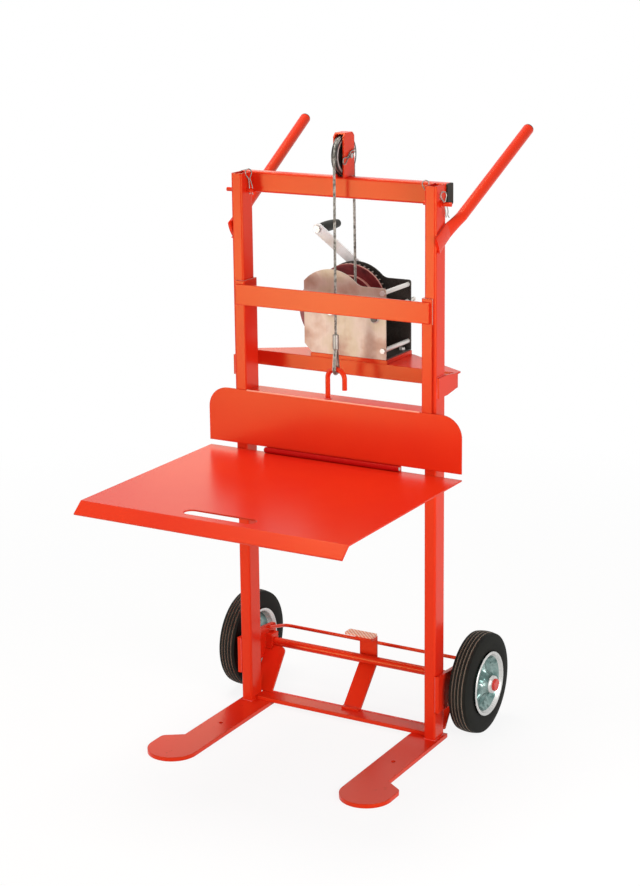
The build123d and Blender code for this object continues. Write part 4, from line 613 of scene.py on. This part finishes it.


# Drum rims: the drum's rear flange is a disc as large as the gear, and a smaller collar stands on it. Both
# are turned from steel and welded to the drum; a lighter pink band on their outer edges is a painted
# highlight.
rim_highlight = Finish("rim_highlight_edge", metallic=0.3, roughness=0.4)
rim_highlight.set("Base Color", rim_highlight.ramp(rim_highlight.noise(80.0), (0.3, (0.36, 0.12, 0.10)), (0.7, (0.55, 0.28, 0.23))))


def drum_ring(name, inner, outer, front, back):
    """Spins one ring about the drum's axle, in millimetres; its outer edge gets the painted highlight."""
    shape = bmesh.new()
    outline = ((inner, front), (outer - 1.2, front), (outer, front + 0.8), (outer, back), (inner, back))
    loop = [shape.verts.new((DRUM.x, y / 1000 + MAST_Y, DRUM.z + r / 1000)) for r, y in outline]
    bmesh.ops.spin(shape, geom=loop + [shape.edges.new(pair) for pair in zip(loop, loop[1:])],
                   cent=(DRUM.x, MAST_Y, DRUM.z), axis=(0, 1, 0), angle=math.tau, steps=FINE_STEPS,
                   use_merge=True)
    bmesh.ops.recalc_face_normals(shape, faces=shape.faces)
    piece = made_of(name, shape, nodes["drum"].data.materials[0], "drum", smooth=False)
    piece.data.materials.append(rim_highlight.material)
    # Faces on the outer edge take the lighter finish, a painted highlight.
    for face in piece.data.polygons:
        reach = math.hypot(face.center.x - DRUM.x, face.center.z - DRUM.z)
        face.material_index = int(reach > (outer - 2.4) / 1000)


drum_ring("drum_rim", 60, 97, 176.2, 179.7)
drum_ring("drum_rim_edge", 93.5, 99, 175.6, 179.7)
drum_ring("drum_collar", 60, 71.5, 168, 176.4)


# Winch fittings: two zinc-plated retaining rings pressed on the winch's front
# plate, one round the pinion's shaft and one round the drum's axle.
RING_FACE_Y = 0.0762


def lengthwise(x, y, z):
    """Lays a cone or disc along the Y axis at one place."""
    return Matrix.Translation((x, y, z)) @ Matrix.Rotation(math.pi / 2, 4, "X")


for name, x, z, radius in (("pinion_ring", 0.059662, 1.012, 0.0115), ("axle_ring", -0.060, 1.021, 0.0135)):
    ring = bmesh.new()
    bmesh.ops.create_cone(ring, cap_ends=True, segments=40, radius1=radius, radius2=radius, depth=0.0015,
                          matrix=lengthwise(x, RING_FACE_Y + MAST_Y, z))
    soften(ring, 0.0004)
    made_of(name, ring, bright_zinc, "frame")


# Pawl bolt: one long zinc bolt through the rear plate's edge, with a hexagon
# head inside the winch and a nut on its far end.
PAWL_X, PAWL_Z = 0.082, 1.034
SHANK, HEAD, NUT = (0.220, 0.040, 0.003, 24), (0.203, 0.005, 0.006, 6), (0.237, 0.006, 0.006, 6)
pawl_bolt = bmesh.new()
for y, depth, radius, segments in (SHANK, HEAD, NUT):
    bmesh.ops.create_cone(pawl_bolt, cap_ends=True, segments=segments, radius1=radius, radius2=radius,
                          depth=depth, matrix=lengthwise(PAWL_X, y + MAST_Y, PAWL_Z))
made_of("pawl_bolt", pawl_bolt, lightened_tie_zinc, "frame", smooth=False)


# Studio: a pale floor that keeps the shadow and reads almost white, and an even
# white surround. Six soft lamps: two at the left front, a low one at the right
# front, one at the right side, a large one overhead and a weak one behind.
RAY_KINDS = ("Camera", "Glossy", "Transmission")


def stage_finish():
    finish = Finish("studio_floor", roughness=0.9)
    finish.set("Base Color", (0.92, 0.92, 0.92, 1))
    glow = finish.node("ShaderNodeEmission", {}, {"Color": (1, 1, 1, 1), "Strength": 1.0})
    rays = sum(finish.node("ShaderNodeLightPath", {}, {}, f"Is {kind} Ray") for kind in RAY_KINDS)
    reach = finish.node("ShaderNodeVectorMath", {"operation": "LENGTH"}, {0: finish.place}, "Value")
    fade = {"Value": reach, "From Min": 0.9, "From Max": 2.8, "To Min": 0.88, "To Max": 1.0}
    pale = finish.node("ShaderNodeMapRange", {}, fade)
    lit = Wire(finish, finish.shader.outputs[0])
    blend = finish.node("ShaderNodeMixShader", {}, {0: rays * pale, 1: lit, 2: glow})
    output = finish.tree.nodes["Material Output"]
    finish.tree.links.new(blend.socket, output.inputs["Surface"])
    return finish.material


FLOOR_HALF = 90.0
floor = bmesh.new()
bmesh.ops.create_grid(floor, x_segments=1, y_segments=1, size=FLOOR_HALF)
floor_data = bpy.data.meshes.new("studio_floor")
floor.to_mesh(floor_data)
floor.free()
floor_data.materials.append(stage_finish())
floor_piece = bpy.data.objects.new("studio_floor", floor_data)
bpy.context.scene.collection.objects.link(floor_piece)
floor_piece.location.z = -0.0005

world = bpy.data.worlds.new("studio")
bpy.context.scene.world = world
world.use_nodes = True
sky = world.node_tree.nodes["Background"]
path = world.node_tree.nodes.new("ShaderNodeLightPath")
strength = world.node_tree.nodes.new("ShaderNodeMapRange")
AMBIENT, WHITE = 0.30, 1.0
strength.inputs["To Min"].default_value, strength.inputs["To Max"].default_value = AMBIENT, WHITE
seen = path.outputs["Is Camera Ray"]
for kind in RAY_KINDS[1:]:
    either = world.node_tree.nodes.new("ShaderNodeMath")
    either.operation = "MAXIMUM"
    world.node_tree.links.new(seen, either.inputs[0])
    world.node_tree.links.new(path.outputs[f"Is {kind} Ray"], either.inputs[1])
    seen = either.outputs[0]
world.node_tree.links.new(seen, strength.inputs["Value"])
world.node_tree.links.new(strength.outputs[0], sky.inputs["Strength"])
sky.inputs["Color"].default_value = (1, 1, 1, 1)


def lamp(name, place, aim, size, power, colour):
    """One square area lamp, size in metres and power in watts, turned to its aim."""
    data = bpy.data.lights.new(name, "AREA")
    data.size, data.energy, data.color = size, power, colour
    piece = bpy.data.objects.new(name, data)
    piece.location = place
    piece.rotation_euler = (Vector(aim) - Vector(place)).to_track_quat("-Z", "Y").to_euler()
    bpy.context.scene.collection.objects.link(piece)


lamp("key", (-1.95, -3.45, 0.38), (0, 0, 1.0), 0.9, 36, (1.0, 0.95, 0.85))
lamp("front", (-3.3, -3.3, 1.6), (0, 0, 0.8), 1.5, 30, (1.0, 0.97, 0.90))
lamp("corner", (1.9, -3.3, 0.6), (0, 0, 0.8), 0.5, 9, (1.0, 0.97, 0.92))
lamp("side", (2.1, -0.8, 1.1), (0, 0, 0.8), 1.1, 31, (1.0, 0.97, 0.95))
lamp("top", (-0.8, 0.0, 4.2), (0, 0, 0.7), 2.0, 104, (1.0, 0.97, 0.92))
lamp("rear", (-2.7, 3.9, 1.35), (0, 0, 0.6), 1.0, 4, (1.0, 0.80, 0.45))


# Camera: a long lens at the front right, above the platform. Focal length and
# principal point are in pixels of a picture 640 wide and 886 high.
AZIMUTH, ELEVATION, ROLL = math.radians(29.748), math.radians(13.682), math.radians(-0.612)
WIDTH, HEIGHT, SENSOR = 640, 886, 36
FOCAL, PRINCIPAL_X, PRINCIPAL_Y = 1964.39, 327.51, 386.56
away = Vector((math.sin(AZIMUTH) * math.cos(ELEVATION), -math.cos(AZIMUTH) * math.cos(ELEVATION),
               math.sin(ELEVATION)))
level = Vector((math.cos(AZIMUTH), math.sin(AZIMUTH), 0))
upright = away.cross(level)
across = level * math.cos(ROLL) + upright * math.sin(ROLL)
upright = upright * math.cos(ROLL) - level * math.sin(ROLL)
lens = bpy.data.cameras.new("camera")
lens.lens, lens.sensor_width = FOCAL / HEIGHT * SENSOR, SENSOR
lens.shift_x, lens.shift_y = (WIDTH / 2 - PRINCIPAL_X) / HEIGHT, (PRINCIPAL_Y - HEIGHT / 2) / HEIGHT
lens.clip_end = 100
camera = bpy.data.objects.new("camera", lens)
turn = Matrix((across, upright, away)).transposed().to_4x4()
camera.matrix_world = Matrix.Translation((2.24365, -3.97479 + MAST_Y, 1.96653)) @ turn
bpy.context.scene.collection.objects.link(camera)
bpy.context.scene.camera = camera
bpy.context.scene.view_settings.view_transform = "Standard"
